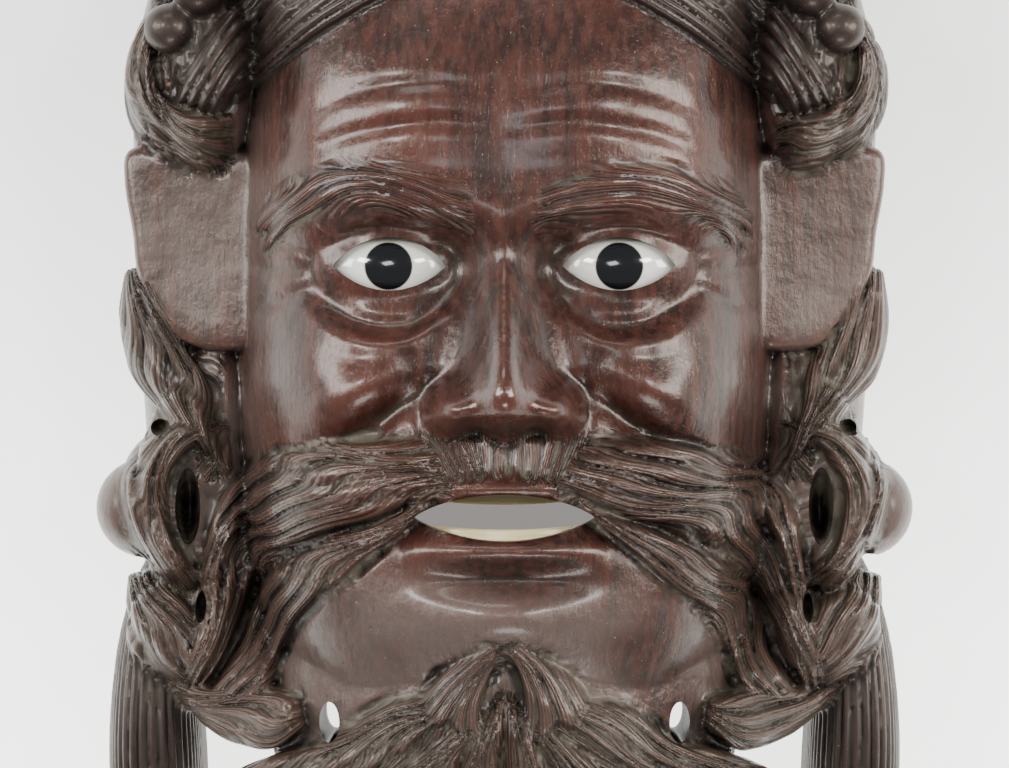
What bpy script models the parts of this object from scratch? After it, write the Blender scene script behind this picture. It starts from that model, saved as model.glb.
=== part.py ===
"""A carved hardwood mask of a bearded elder in a ribbed head wrap, lying face up on its open back.

Metres. +Z comes out of the face, +Y runs from the beard to the crown, and the floor is at z = 0.
The carving is one block: head, hair, beard and wrap. Two glass eyes and two bone teeth strips
are pieces of their own, each set in a seat cut to its size.
"""

import math

import bmesh
import bpy
import numpy as np

# Driving sizes, in metres
MASK_HEIGHT = 0.300
WALL = 0.011
SEAT_GAP = 0.0003
EYE_WIDTH = 0.033
EYE_HEIGHT = 0.021
EYE_DEPTH = 0.018
EYE_SPACING = 0.056
LID_OPENING_WIDTH = 0.0275
LID_OPENING_HEIGHT = 0.0130
MOUTH_WIDTH = 0.044
MOUTH_GAPE = 0.0115
TEETH_THICKNESS = 0.003
TEETH_HEIGHT = 0.0085
TEETH_GAP = 0.006
TEETH_END_HOLD = 0.004
BEARD_HOLE_WIDTH = 0.005
BEARD_HOLE_HEIGHT = 0.010
BALL_DIAMETER = 0.0125
TAIL_FLUTES = 5
TAIL_FLUTE_DEPTH = 0.0012

# The carving is free form, so its points are shares of the height: 1 share is 1 mm at 300 mm.
SHARE = MASK_HEIGHT / 300

# How finely the solid is cut
CARVING_VOXEL = 0.0019 * MASK_HEIGHT / 0.300
CARVING_TRIANGLES = 5900

# Rows up the face: height on the face, half width, depth
HEAD_ROWS = (
    (-104, 0, 0), (-101, 26, 38), (-93, 43, 60), (-80, 56, 74), (-66, 62, 82), (-50, 66, 85),
    (-30, 69, 85), (-10, 71, 83), (12, 71.5, 82), (30, 71.5, 83), (42, 71.5, 85), (60, 71, 85),
    (80, 69, 82), (96, 65, 77), (112, 59, 69), (128, 49, 56), (140, 35, 40), (147, 18, 22), (150, 0, 0),
)
HAIR_ROWS = (
    (-84, 0, 0), (-79, 44, 20), (-66, 78, 34), (-46, 87, 38), (-20, 91, 38), (10, 93, 38),
    (40, 93, 38), (60, 95, 38), (80, 95, 38), (96, 92, 38), (112, 86, 38), (128, 71, 36),
    (140, 50, 29), (147, 26, 18), (150, 0, 0),
)
# Rows down the beard: height on the face, half width, front depth, back depth
BEARD_ROWS = (
    (-146, 0, 56, 54), (-143, 12, 60, 46), (-132, 27, 66, 42), (-118, 42, 73, 43), (-104, 52, 78, 45),
    (-90, 58, 81, 47), (-75, 60, 82, 50), (-62, 46, 80, 56), (-56, 0, 70, 68),
)
HEAD_POWERS = (3.4, 2.1)
HAIR_POWERS = (5.0, 2.6)
SHOULDER = (72, 39, 0.30)
BEARD_CURVE = (26, 62)

# Lines that a bundle of locks runs between, on one side of the face, and how the bundle is cut:
# the locks across it, how far it stands off the ground, how far it bulges in the middle, how deep
# the grooves between its locks are, how far the locks sway, and how uneven their tips are
BUNDLES = {
    "brow": dict(upper=((8, 46), (22, 53), (38, 53), (54, 48), (66, 39)),
                 lower=((9, 38), (22, 42), (38, 43), (53, 38), (61, 30)),
                 locks=2, lift=1.6, crown=1.2, relief=0.7, wave=0.6, tips=0.10),
    "temple": dict(upper=((69, 66), (79, 68.5), (85.5, 74), (86.5, 83), (83, 93)),
                   lower=((69, 52), (80, 54), (90, 61), (95.5, 73), (94, 84), (87, 97)),
                   locks=3, lift=3.5, crown=3.0, relief=1.9, wave=0.7, tips=0.0),
    "swirl": dict(upper=((90, 30), (83, 21), (75, 6), (71, -8), (69, -22)),
                  lower=((95.5, 28.5), (97, 16), (94.5, 4), (88, -5), (78, -14)),
                  locks=2, lift=3.5, crown=4.0, relief=2.2, wave=0.7, tips=0.0),
    "bun": dict(upper=((70, -11), (78, -17), (83, -26), (81.5, -38), (73, -49)),
                lower=((74, -7), (88, -11), (96, -22), (94, -36), (84, -54)),
                locks=3, lift=5.5, crown=3.0, relief=2.0, wave=0.6, tips=0.0),
    "curl": dict(upper=((88, -46), (84, -49), (79, -53), (76, -58), (74, -64)),
                 lower=((95, -48), (95, -57), (91, -65), (86, -72), (80, -77)),
                 locks=3, lift=5.0, crown=2.5, relief=2.0, wave=0.6, tips=0.0),
    "moustache": dict(upper=((18, -13), (32, -13), (47, -14.5), (61, -19), (71, -28), (75, -42), (77, -56),
                             (82, -72)),
                      lower=((12, -26), (27, -32), (41, -36), (53, -41), (61, -48), (66, -58), (70, -69),
                             (77, -79)),
                      locks=4, lift=6.5, crown=4.0, relief=2.3, wave=1.2, tips=0.0),
    "cheek": dict(upper=((16, -27), (30, -33), (44, -38), (56, -45), (63, -54), (67, -66), (76, -79)),
                  lower=((20, -32), (29, -39), (38, -47), (48, -56), (54, -65), (58, -74), (68, -83)),
                  locks=3, lift=4.0, crown=2.5, relief=1.8, wave=0.9, tips=0.0),
    "lip": dict(upper=((0, -12), (0, -17), (0, -24)), lower=((23, -13), (20, -18), (15, -27)),
                locks=3, lift=1.5, crown=0.0, relief=0.7, wave=0.3, tips=0.3),
    "jaw": dict(upper=((84, -75), (72, -74.5), (60, -74), (47, -74)),
                lower=((81, -80), (70, -88), (58, -91), (48, -88)),
                locks=3, lift=4.0, crown=3.0, relief=1.8, wave=0.8, tips=0.05),
    "beard_side": dict(upper=((14, -75), (30, -78), (42, -87), (55, -91), (69, -98), (76, -111), (70, -124)),
                       lower=((6, -80), (23, -94), (37, -107), (49, -118), (56, -128), (58, -137)),
                       locks=4, lift=2.5, crown=2.5, relief=2.2, wave=0.9, tips=0.14),
    "beard_middle": dict(upper=((6, -78), (24, -93), (38, -106), (48, -118), (52, -130), (45, -141)),
                         lower=((3, -80), (12, -97), (20, -114), (27, -129), (30, -140), (26, -147)),
                         locks=3, lift=3.5, crown=2.5, relief=2.2, wave=0.9, tips=0.10),
    "beard_front": dict(upper=((4, -79), (12, -95), (20, -113), (26, -128), (26, -139), (16, -147)),
                        lower=((0, -76), (0, -92), (0, -112), (0, -130), (0, -142), (0, -150)),
                        locks=3, lift=4.5, crown=2.0, relief=2.0, wave=0.6, tips=0.06),
    "tuft": dict(upper=((0, -62), (9, -65), (17, -71), (25, -82)),
                 lower=((0, -64), (3, -71), (4, -79), (3, -90)),
                 locks=2, lift=4.0, crown=2.0, relief=1.5, wave=0.9, tips=0.10),
    "wrap": dict(upper=((0, 125), (30, 121), (52, 111), (68, 94), (80, 76)),
                 lower=((0, 101), (24, 96), (40, 88.5), (53, 80.5), (70, 69)),
                 locks=1, lift=6.0, crown=1.0, relief=0.0, wave=0.0, tips=0.0),
    "wrap_end": dict(upper=((60, 103), (67, 94), (75, 82), (82, 70)),
                     lower=((48, 94), (55, 87), (63, 78), (70.5, 66)),
                     locks=1, lift=9.0, crown=0.5, relief=0.0, wave=0.0, tips=0.0),
    "cap": dict(upper=((0, 114), (0, 128), (0, 140), (0, 148)),
                lower=((86, 76), (89, 98), (77, 121), (44, 143)),
                locks=8, lift=1.0, crown=0.5, relief=0.6, wave=0.0, tips=0.0),
}
# How far an edge sinks and how deep a bundle's body goes, in shares; how far its locks sway to
# the side and how often; how round hair and cloth are across; and how their ends slope off
EDGE_DROP = 2.0
SHEET_DEPTH = 10.0
SWAY = 0.22
SWAYS = 1.4
HAIR_EDGE = 3
CLOTH_EDGE = 8
END_SLOPE = 0.12
END_HEIGHT = 0.25
# Where the balls stand along the upper edge of the wrap, on one side
BALL_PLACES = ((83, 88), (76, 97), (66, 106), (54, 114), (41, 120), (27, 125), (12, 128))
BALL_SINK = 0.25
# Blind openings between the locks: place on the face and half sizes
PITS = (((78.5, -31), (3.2, 6.0)), ((86, -10.5), (2.6, 2.6)), ((75.5, -55), (1.7, 3.2)))
PIT_DEPTHS = (52, 14)

EYE_LEVEL = 28.75
EYE_SINK = 67.0
MOUTH_LEVEL = -32.5
TEETH_SINK = 74.0
TEETH_BOW = 5.0
TEETH_SAG = 1.5
BEARD_HOLE_PLACE = (43, -83)
# Rounded masses under the locks, on one side: centre and half sizes
MASSES = {
    "bun": ((90, -31, 32), (12.5, 12.5, 12.5)),
    "temple_core": ((82, 75, 36), (14, 21, 12)),
    "side_core": ((78, -26, 38), (14, 26, 12)),
    "curl_core": ((78, -62, 36), (17, 15, 9)),
}
# The ear's outline, closed, then the share it is taken in by and the height of each level of its front
EAR_OUTLINE = (
    (65, 57), (84, 59), (94, 58.5), (95, 50), (93, 38), (91.5, 27), (86, 17), (76, 9), (65, 14), (65, 57),
)
EAR_LEVELS = ((0, -12), (0, 42), (0.03, 44.5), (0.10, 46), (0.25, 47.2), (0.5, 48), (0.8, 48.5))
EAR_SLANT = 0.22
# Rows down a hanging tail of the wrap: height on the face, inner edge, outer edge, depth
TAIL_ROWS = (
    (-38, 76, 88, 22), (-50, 77, 94, 32), (-64, 77.5, 98, 37), (-80, 77, 100, 39),
    (-96, 76, 100.5, 39), (-108, 76, 99, 37), (-112, 78, 96, 33),
)

FLOOR_CUT = 0.030


def smooth_path(points, steps=10):
    """Points along the Catmull-Rom curve through the given ones."""
    points = np.array(points, float)
    ends = np.vstack([2 * points[0] - points[1], points, 2 * points[-1] - points[-2]])
    t = np.linspace(0, 1, steps, endpoint=False)[:, None]
    spans = []
    for a, b, c, d in zip(ends, ends[1:], ends[2:], ends[3:]):
        bend = 2 * a - 5 * b + 4 * c - d
        twist = 3 * b - a - 3 * c + d
        spans.append(0.5 * (2 * b + (c - a) * t + bend * t**2 + twist * t**3))
    return np.vstack([*spans, points[-1:]])


def resampled(path, count):
    """The path as a number of points evenly spaced along it."""
    along = np.concatenate([[0], np.cumsum(np.linalg.norm(np.diff(path, axis=0), axis=1))])
    at = np.linspace(0, along[-1], count)
    return np.stack([np.interp(at, along, path[:, k]) for k in range(path.shape[1])], axis=1)


def row_values(rows, y):
    """Each column of the rows, read smoothly at the heights y."""
    path = smooth_path(rows)
    return [np.interp(y, path[:, 0], path[:, k]) for k in range(1, path.shape[1])]


def rise(low, high, value):
    """0 below low, 1 above high, and smooth between them."""
    t = np.clip((value - low) / (high - low), 0, 1)
    return t * t * (3 - 2 * t)


def bump(x, y, centre, radii, height):
    """A round swelling, or a hollow where the height is negative."""
    return height * np.exp(-(((x - centre[0]) / radii[0]) ** 2) - ((y - centre[1]) / radii[1]) ** 2)


def groove(x, y, points, width, depth):
    """A cut that follows a line and runs out at both ends; a negative depth raises a fold."""
    path = resampled(smooth_path(points), 24)
    best = np.full(np.shape(x), 1e9)
    share = np.zeros(np.shape(x))
    for k, (a, b) in enumerate(zip(path, path[1:])):
        span = b - a
        t = np.clip(((x - a[0]) * span[0] + (y - a[1]) * span[1]) / (span @ span), 0, 1)
        gap = np.hypot(x - a[0] - t * span[0], y - a[1] - t * span[1])
        share = np.where(gap < best, (k + t) / (len(path) - 1), share)
        best = np.minimum(best, gap)
    return -depth * np.exp(-((best / width) ** 2)) * np.sin(np.pi * np.clip(share, 0.04, 0.96)) ** 0.6


def form_height(x, y, rows, powers):
    """Height over the floor of a half-round form."""
    width, depth = row_values(rows, y)
    across = np.abs(x) / np.maximum(width, 1e-6)
    return depth * np.maximum(1 - across ** powers[0], 0) ** (1 / powers[1])


def lens_height(x, y, grow=0.0):
    """Height of the eyeball's front, or of a lid over it, and minus a large number off the ball."""
    rx = EYE_WIDTH / SHARE / 2 + grow
    ry = EYE_HEIGHT / SHARE / 2 + grow
    rz = EYE_DEPTH / SHARE / 2 + grow
    inside = 1 - ((x - EYE_SPACING / SHARE / 2) / rx) ** 2 - ((y - EYE_LEVEL) / ry) ** 2
    return np.where(inside > 0, EYE_SINK + rz * np.sqrt(np.maximum(inside, 0)), -1e3)


def nose(side, y):
    """The nose, from its root between the brows to its tip."""
    rows = (
        (-19, 0, 8), (-15, 0.5, 9), (-12, 7, 10), (-8.5, 19, 10), (-4, 24, 9.5), (2, 23, 8.6),
        (10, 17.5, 7.4), (20, 11, 6.6), (30, 5, 7), (38, 3, 9), (46, 0, 12),
    )
    height, width = row_values(rows, y)
    ridge = np.where((y > -19) & (y < 46), height, 0) * np.exp(-((side / width) ** 2))
    wings = bump(side, y, (13, -6.5), (6, 6), 11.5)
    nostrils = bump(side, y, (7.5, -13), (3.4, 3), -8)
    return ridge + wings + nostrils + groove(side, y, ((13, 3), (19, -1), (20.5, -8), (17, -13)), 1.8, 3.0)


def lips(side, y):
    """Two parted lips, the dip above the chin and the chin."""
    level = y - MOUTH_LEVEL
    half_gape = MOUTH_GAPE / SHARE / 2
    half_width = MOUTH_WIDTH / SHARE / 2
    fade = np.clip(1 - (side / (half_width + 3)) ** 2, 0, 1)
    upper = 4.0 * np.exp(-(((level - half_gape - 1.5) / 3.0) ** 2)) * fade
    lower = 5.0 * np.exp(-(((level + half_gape + 2.2) / 3.6) ** 2)) * fade**0.8
    corners = bump(side, y, (half_width + 2, MOUTH_LEVEL), (5, 5), -3.5)
    dip = bump(side, y, (0, MOUTH_LEVEL - 15.5), (17, 3.2), -4.0)
    chin = bump(side, y, (0, MOUTH_LEVEL - 25), (17, 9), 6.5)
    return upper + lower + corners + dip + chin


def folds(side, y):
    """Age lines: brow furrows, the pouch under each eye, crow's feet and the cheek fold."""
    lines = (
        (((2, 62), (18, 63.5), (36, 61), (50, 56)), 2.0, 1.1),
        (((2, 71), (18, 73), (36, 71), (48, 66)), 2.0, 1.0),
        (((14, 20), (24, 14.5), (36, 15.5), (46, 22)), 2.2, 2.2),
        (((14, 16.5), (24, 10), (38, 10.5), (50, 18)), 2.4, -1.4),
        (((47, 32), (54, 35), (62, 40)), 1.6, 1.4),
        (((48, 28), (56, 28), (64, 30)), 1.6, 1.4),
        (((47, 24), (54, 21), (62, 18)), 1.6, 1.4),
        (((20, -1), (29, -8), (37, -14), (44, -16)), 3.0, 4.0),
        (((23, 7), (33, 0), (43, -6), (50, -12)), 5.0, -2.6),
        (((15, 38), (21, 37.6), (28, 38.5), (36, 37), (43, 33)), 1.5, 1.8),
    )
    return sum(groove(side, y, points, width, depth) for points, width, depth in lines)


def face_height(x, y):
    """Height over the floor of the head with its face."""
    side = np.abs(x)
    ground = form_height(x, y, HEAD_ROWS, HEAD_POWERS)
    modelling = (
        bump(side, y, (27, 29), (17, 11), -9)
        + bump(side, y, (12, 29), (7, 9), -6)
        + bump(side, y, (24, 44), (24, 6), 3.5)
        + bump(side, y, (44, 3), (17, 13), 5)
        + bump(side, y, (38, -30), (16, 14), -2)
        + bump(side, y, (20, 68), (18, 14), 2)
        + bump(side, y, (60, 50), (8, 16), -3)
        + nose(side, y)
        + lips(side, y)
        + folds(side, y)
    )
    height = ground + modelling * rise(0.0, 22.0, ground)
    lid = lens_height(side, y, grow=2.2)
    blend = 1.6
    return np.where(lid > 0, np.logaddexp(height / blend, lid / blend) * blend, height)


def ground_height(x, y):
    """Height that the hair is laid on, without the drop at the edges of the forms."""
    start, height, slope = SHOULDER
    shoulder = height - slope * np.maximum(np.abs(x) - start, 0)
    head = np.maximum(form_height(x, y, HEAD_ROWS, HEAD_POWERS), shoulder)
    front = row_values(BEARD_ROWS, y)[1]
    beard = np.maximum(front - BEARD_CURVE[0] * (x / BEARD_CURVE[1]) ** 2, shoulder)
    share = rise(56, 78, -y)
    ground = (1 - share) * head + share * beard
    for centre, half_sizes in MASSES.values():
        across = (np.abs(x) - centre[0]) / half_sizes[0]
        along = (y - centre[1]) / half_sizes[1]
        inside = 1 - across**2 - along**2
        top = centre[2] + half_sizes[2] * np.sqrt(np.maximum(inside, 0))
        ground = np.where(inside < 0, ground, np.maximum(ground, top))
    return ground


def ridges(values):
    """Rounded crests with sharp grooves between them, from 0 in a groove to 1 on a crest."""
    return np.abs(np.sin(np.pi * values)) ** 0.7


def bundle_grid(bundle, across, along):
    """The top of a bundle on the +X side as a grid of points."""
    t = np.linspace(0, 1, across)[:, None]
    s = np.linspace(0, 1, along)[None, :]
    upper = smooth_path(bundle["upper"])
    lower = smooth_path(bundle["lower"])
    sway = SWAY * np.sin(2 * np.pi * s * SWAYS + bundle["locks"]) * np.sin(np.pi * s) * bundle["wave"]
    locks = ridges(t * bundle["locks"] + sway)
    reach = s * (1 - bundle["tips"] * (1 - locks) * s)
    places = np.linspace(0, 1, 200)
    sides = []
    for line in (upper, lower):
        even = resampled(line, 200)
        sides.append(np.stack([np.interp(reach, places, even[:, k]) for k in range(2)], axis=2))
    xy = sides[0] + (sides[1] - sides[0]) * t[:, :, None]
    edge = HAIR_EDGE if bundle["wave"] else CLOTH_EDGE
    dome = (1 - np.abs(2 * t - 1) ** edge) ** 0.5
    run = np.minimum(1, s / END_SLOPE) ** 0.6 * np.minimum(1, (1 - s) / END_SLOPE) ** 0.6
    full = dome * (END_HEIGHT + (1 - END_HEIGHT) * run)
    height = (bundle["lift"] + bundle["crown"] * np.sin(np.pi * t)) * full
    height = height - EDGE_DROP * (1 - full) - bundle["relief"] * (1 - locks)
    z = ground_height(xy[:, :, 0], xy[:, :, 1]) + height
    return np.dstack([xy, z])


def sheet_mesh(name, bundle, across=26, along=48):
    """The body of a bundle: its top, and a bottom that lies inside the block."""
    top = bundle_grid(bundle, across, along)
    bottom = top.copy()
    bottom[:, :, 2] = ground_height(top[:, :, 0], top[:, :, 1]) - SHEET_DEPTH
    return shell_mesh(name, top, bottom)


def shell_mesh(name, top, bottom):
    """A closed mesh between two grids of points of one size, in shares."""
    rows, columns = top.shape[:2]
    index = np.arange(rows * columns).reshape(rows, columns)
    under = index + rows * columns
    a, b, c, d = index[:-1, :-1], index[1:, :-1], index[1:, 1:], index[:-1, 1:]
    faces = [np.stack([a, b, c, d], 2).reshape(-1, 4)]
    a, b, c, d = under[:-1, :-1], under[1:, :-1], under[1:, 1:], under[:-1, 1:]
    faces.append(np.stack([a, d, c, b], 2).reshape(-1, 4))
    border = np.concatenate([index[0, :-1], index[:-1, -1], index[-1, :0:-1], index[:0:-1, 0]])
    after = np.roll(border, -1)
    shift = rows * columns
    faces.append(np.stack([border, after, after + shift, border + shift], 1))
    points = np.vstack([top.reshape(-1, 3), bottom.reshape(-1, 3)]) * SHARE
    mesh = bpy.data.meshes.new(name)
    mesh.from_pydata(points.tolist(), [], np.vstack(faces).tolist())
    return mesh


def collection(name):
    made = bpy.data.collections.new(name)
    bpy.context.scene.collection.children.link(made)
    return made


def place(name, mesh, home):
    made = bpy.data.objects.new(name, mesh)
    home.objects.link(made)
    return made


def mesh_of(name, bm):
    bmesh.ops.recalc_face_normals(bm, faces=bm.faces)
    mesh = bpy.data.meshes.new(name)
    bm.to_mesh(mesh)
    bm.free()
    return mesh


def reshape(mesh, move):
    """Moves every vertex by a function of all of them, in shares, and scales the result to metres."""
    points = np.empty(len(mesh.vertices) * 3)
    mesh.vertices.foreach_get("co", points)
    mesh.vertices.foreach_set("co", (move(points.reshape(-1, 3)) * SHARE).ravel())
    mesh.update()


def ball_mesh(name, segments, rings):
    bm = bmesh.new()
    bmesh.ops.create_uvsphere(bm, u_segments=segments, v_segments=rings, radius=1)
    return mesh_of(name, bm)


def round_form(name, rows, shape, segments=72, rings=96):
    """A sphere stretched over the rows; shape gives a vertex's place from the row and its angle."""
    mesh = ball_mesh(name, segments, rings)

    def move(points):
        down = np.arccos(np.clip(points[:, 2], -1, 1)) / np.pi
        y = rows[0][0] + (rows[-1][0] - rows[0][0]) * (1 - down)
        angle = np.arctan2(points[:, 1], points[:, 0])
        return shape(y, np.cos(angle), np.sin(angle))

    reshape(mesh, move)
    mesh.flip_normals()
    return mesh


def half_round(rows, powers, shrink=0.0, relief=None):
    """The shape of a half-round form, taken in on every side by shrink, with a skirt under the floor."""
    low, high = rows[0][0], rows[-1][0]

    def shape(y, across, up):
        kept = (y - (low + high) / 2) * (1 - 2 * shrink / (high - low)) + (low + high) / 2
        width, depth = row_values(rows, y)
        even = 1 if relief is not None else 2 / powers[0]
        x = np.maximum(width - shrink, 0) * np.sign(across) * np.abs(across) ** even
        front = np.maximum(depth - shrink, 0) * np.abs(up) ** (2 / powers[1])
        if relief is not None:
            front = np.where(up > 0.02, relief(x, kept), front)
        back = -FLOOR_CUT / 2 / SHARE * np.abs(up) ** 0.5
        drop = FLOOR_CUT / 8 / SHARE * (1 - np.abs(up)) ** 2
        return np.column_stack([x, kept, np.where(up >= 0, front, back) - drop])

    return shape


def beard_shape(y, across, up):
    width, front, back = row_values(BEARD_ROWS, y)
    middle, half = (front + back) / 2, (front - back) / 2
    x = width * np.sign(across) * np.abs(across) ** 0.8
    sag = BEARD_CURVE[0] * (x / BEARD_CURVE[1]) ** 2
    return np.column_stack([x, y, middle - sag + half * np.sign(up) * np.abs(up) ** 0.8])


def ellipsoid(name, centre, half_sizes, segments=24, rings=16):
    mesh = ball_mesh(name, segments, rings)
    reshape(mesh, lambda points: points * np.array(half_sizes) + np.array(centre))
    return mesh


def both_sides(mesh):
    """The mesh and its mirror image across the middle of the face."""
    mirrored = mesh.copy()
    points = np.empty(len(mirrored.vertices) * 3)
    mirrored.vertices.foreach_get("co", points)
    mirrored.vertices.foreach_set("co", (points.reshape(-1, 3) * (-1, 1, 1)).ravel())
    mirrored.flip_normals()
    return [mesh, mirrored]


def joined(name, meshes):
    bm = bmesh.new()
    for mesh in meshes:
        bm.from_mesh(mesh)
    made = bpy.data.meshes.new(name)
    bm.to_mesh(made)
    bm.free()
    return made


def tail_mesh():
    """One fluted tail of the wrap, hanging behind the beard on the +X side."""
    bm = bmesh.new()
    rings = []
    for y, inner, outer, depth in resampled(smooth_path(TAIL_ROWS), 26):
        ring = []
        steps = 8 * TAIL_FLUTES
        for k in range(steps + 1):
            angle = math.pi * (1 - k / steps)
            flute = TAIL_FLUTE_DEPTH / SHARE * abs(math.sin(k / steps * TAIL_FLUTES * math.pi)) - 1
            half = (outer - inner) / 2 + flute
            x = (inner + outer) / 2 + half * math.copysign(abs(math.cos(angle)) ** 0.7, math.cos(angle))
            ring.append(bm.verts.new((x * SHARE, y * SHARE, (depth + flute) * math.sin(angle) ** 0.6 * SHARE)))
        ring.append(bm.verts.new((outer * SHARE, y * SHARE, -FLOOR_CUT / 2)))
        ring.append(bm.verts.new((inner * SHARE, y * SHARE, -FLOOR_CUT / 2)))
        rings.append(ring)
    for above, below in zip(rings, rings[1:]):
        for k in range(len(above)):
            after = (k + 1) % len(above)
            bm.faces.new((above[k], above[after], below[after], below[k]))
    bm.faces.new(rings[0])
    bm.faces.new(rings[-1])
    return mesh_of("tail", bm)


def ear_mesh():
    """A flat, faintly scooped ear: its outline, bevelled at the front, raised from the floor."""
    outline = resampled(smooth_path(EAR_OUTLINE), 48)[:-1]
    middle = outline.mean(0)
    rings = []
    for inset, z in EAR_LEVELS:
        ring = middle + (outline - middle) * (1 - inset)
        rings.append(np.column_stack([ring, z - EAR_SLANT * (ring[:, 0] - EAR_OUTLINE[0][0])]))
    mesh = bpy.data.meshes.new("ear")
    count = len(outline)
    faces = []
    for level in range(len(rings) - 1):
        for k in range(count):
            after = (k + 1) % count
            foot = level * count
            faces.append((foot + k, foot + after, foot + count + after, foot + count + k))
    faces.append(tuple(range(count))[::-1])
    faces.append(tuple(range((len(rings) - 1) * count, len(rings) * count)))
    mesh.from_pydata((np.vstack(rings) * SHARE).tolist(), [], faces)
    return mesh


def hair_meshes():
    meshes = both_sides(ear_mesh())
    for name, bundle in BUNDLES.items():
        meshes += both_sides(sheet_mesh(name, bundle))
    return meshes


def ball_meshes():
    radius = BALL_DIAMETER / SHARE / 2
    meshes = []
    for x, y in BALL_PLACES:
        z = float(ground_height(np.array([x], float), np.array([y], float))[0]) + radius * (1 - BALL_SINK)
        meshes += both_sides(ellipsoid("ball", (x, y, z), (radius,) * 3))
    return meshes


def carving_block():
    """Everything that is cut from the one block of wood, laid together but not yet one skin."""
    head = round_form("head", HEAD_ROWS, half_round(HEAD_ROWS, HEAD_POWERS, relief=face_height), 260, 300)
    hair = round_form("hair", HAIR_ROWS, half_round(HAIR_ROWS, HAIR_POWERS))
    beard = round_form("beard", BEARD_ROWS, beard_shape)
    masses = [half for name, sizes in MASSES.items() for half in both_sides(ellipsoid(name, *sizes))]
    tails = both_sides(tail_mesh())
    return joined("carving", [head, hair, beard, *masses, *tails, *hair_meshes(), *ball_meshes()])


def prism(name, outline, low, high):
    """An outline in X and Y, in shares, raised from low to high."""
    bm = bmesh.new()
    foot = bm.faces.new([bm.verts.new((x * SHARE, y * SHARE, low * SHARE)) for x, y in outline])
    raised = bmesh.ops.extrude_face_region(bm, geom=[foot])
    lifted = [v for v in raised["geom"] if isinstance(v, bmesh.types.BMVert)]
    bmesh.ops.translate(bm, verts=lifted, vec=(0, 0, (high - low) * SHARE))
    return mesh_of(name, bm)


def almond(centre, half_width, above, below, steps=20):
    """An eye or mouth outline: two arcs that meet in points."""
    s = np.linspace(-1, 1, steps)
    upper = np.column_stack([centre[0] + half_width * s, centre[1] + above * (1 - s**2) ** 0.8])
    lower = np.column_stack([centre[0] + half_width * s, centre[1] - below * (1 - s**2) ** 0.9])
    return [*upper, *lower[-2:0:-1]]


def eye_mesh(grow=0.0):
    """A glass eye on the +X side, larger by grow all round."""
    half_sizes = [(size / 2 + grow) / SHARE for size in (EYE_WIDTH, EYE_HEIGHT, EYE_DEPTH)]
    return ellipsoid("eye", (EYE_SPACING / SHARE / 2, EYE_LEVEL, EYE_SINK), half_sizes, 20, 12)


def eye_cutters():
    """The lid opening, and the seat with its way in from the hollow, on the +X side."""
    centre = (EYE_SPACING / SHARE / 2, EYE_LEVEL)
    opening = LID_OPENING_WIDTH / SHARE / 2
    tall = LID_OPENING_HEIGHT / SHARE
    lids = prism("lids", almond(centre, opening, 0.54 * tall, 0.46 * tall), EYE_SINK + 1, EYE_SINK + 30)
    seat = eye_mesh(SEAT_GAP)
    for vertex in seat.vertices:
        if vertex.co.z < EYE_SINK * SHARE:
            vertex.co.z = EYE_SINK * SHARE + (vertex.co.z - EYE_SINK * SHARE) * 4
    return [lids, seat]


def teeth_mesh(level, grow=0.0):
    """A bone strip that bows back behind the lips; the level is the middle of its height."""
    half_length = (MOUTH_WIDTH / 2 + TEETH_END_HOLD + grow) / SHARE
    thick = (TEETH_THICKNESS + 2 * grow) / SHARE
    tall = (TEETH_HEIGHT + 2 * grow) / SHARE
    bm = bmesh.new()
    bmesh.ops.create_cube(bm, size=2)
    along = [e for e in bm.edges if abs(e.verts[0].co.x - e.verts[1].co.x) > 1]
    bmesh.ops.subdivide_edges(bm, edges=along, cuts=19, use_grid_fill=True)
    mesh = mesh_of("teeth", bm)

    def bend(points):
        s, up, out = points.T
        reach = MOUTH_WIDTH / 2 / SHARE
        bow = (s * half_length / reach) ** 2
        return np.column_stack([s * half_length, level + up * tall / 2 + TEETH_SAG * bow,
                                TEETH_SINK + out * thick / 2 - TEETH_BOW * bow])

    reshape(mesh, bend)
    return mesh


def teeth_levels():
    half = (TEETH_HEIGHT + TEETH_GAP) / 2 / SHARE
    return {"upper_teeth": MOUTH_LEVEL + half, "lower_teeth": MOUTH_LEVEL - half}


def mouth_cutters():
    half_gape = MOUTH_GAPE / SHARE / 2
    slot = prism("mouth_slot", almond((0, MOUTH_LEVEL), MOUTH_WIDTH / SHARE / 2, half_gape, half_gape, 24),
                 TEETH_SINK - 45, TEETH_SINK + 40)
    return [slot, *(teeth_mesh(level, SEAT_GAP) for level in teeth_levels().values())]


def beard_hole_cutter():
    x, y = BEARD_HOLE_PLACE
    angles = np.linspace(0, 2 * np.pi, 14, endpoint=False)
    outline = np.column_stack([x + BEARD_HOLE_WIDTH / SHARE / 2 * np.cos(angles),
                               y + BEARD_HOLE_HEIGHT / SHARE / 2 * np.sin(angles)])
    return prism("beard_hole", outline, -10, 120)


def pit_cutters():
    middle, half = PIT_DEPTHS
    made = []
    for place, half_sizes in PITS:
        made += both_sides(ellipsoid("pit", (*place, middle), (*half_sizes, half), 10, 8))
    return made


def floor_cutter():
    bm = bmesh.new()
    bmesh.ops.create_cube(bm, size=1)
    for vertex in bm.verts:
        vertex.co.x *= MASK_HEIGHT * 1.5
        vertex.co.y *= MASK_HEIGHT * 1.5
        vertex.co.z = (vertex.co.z - 0.5) * 2 * FLOOR_CUT
    return mesh_of("floor", bm)


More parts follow.
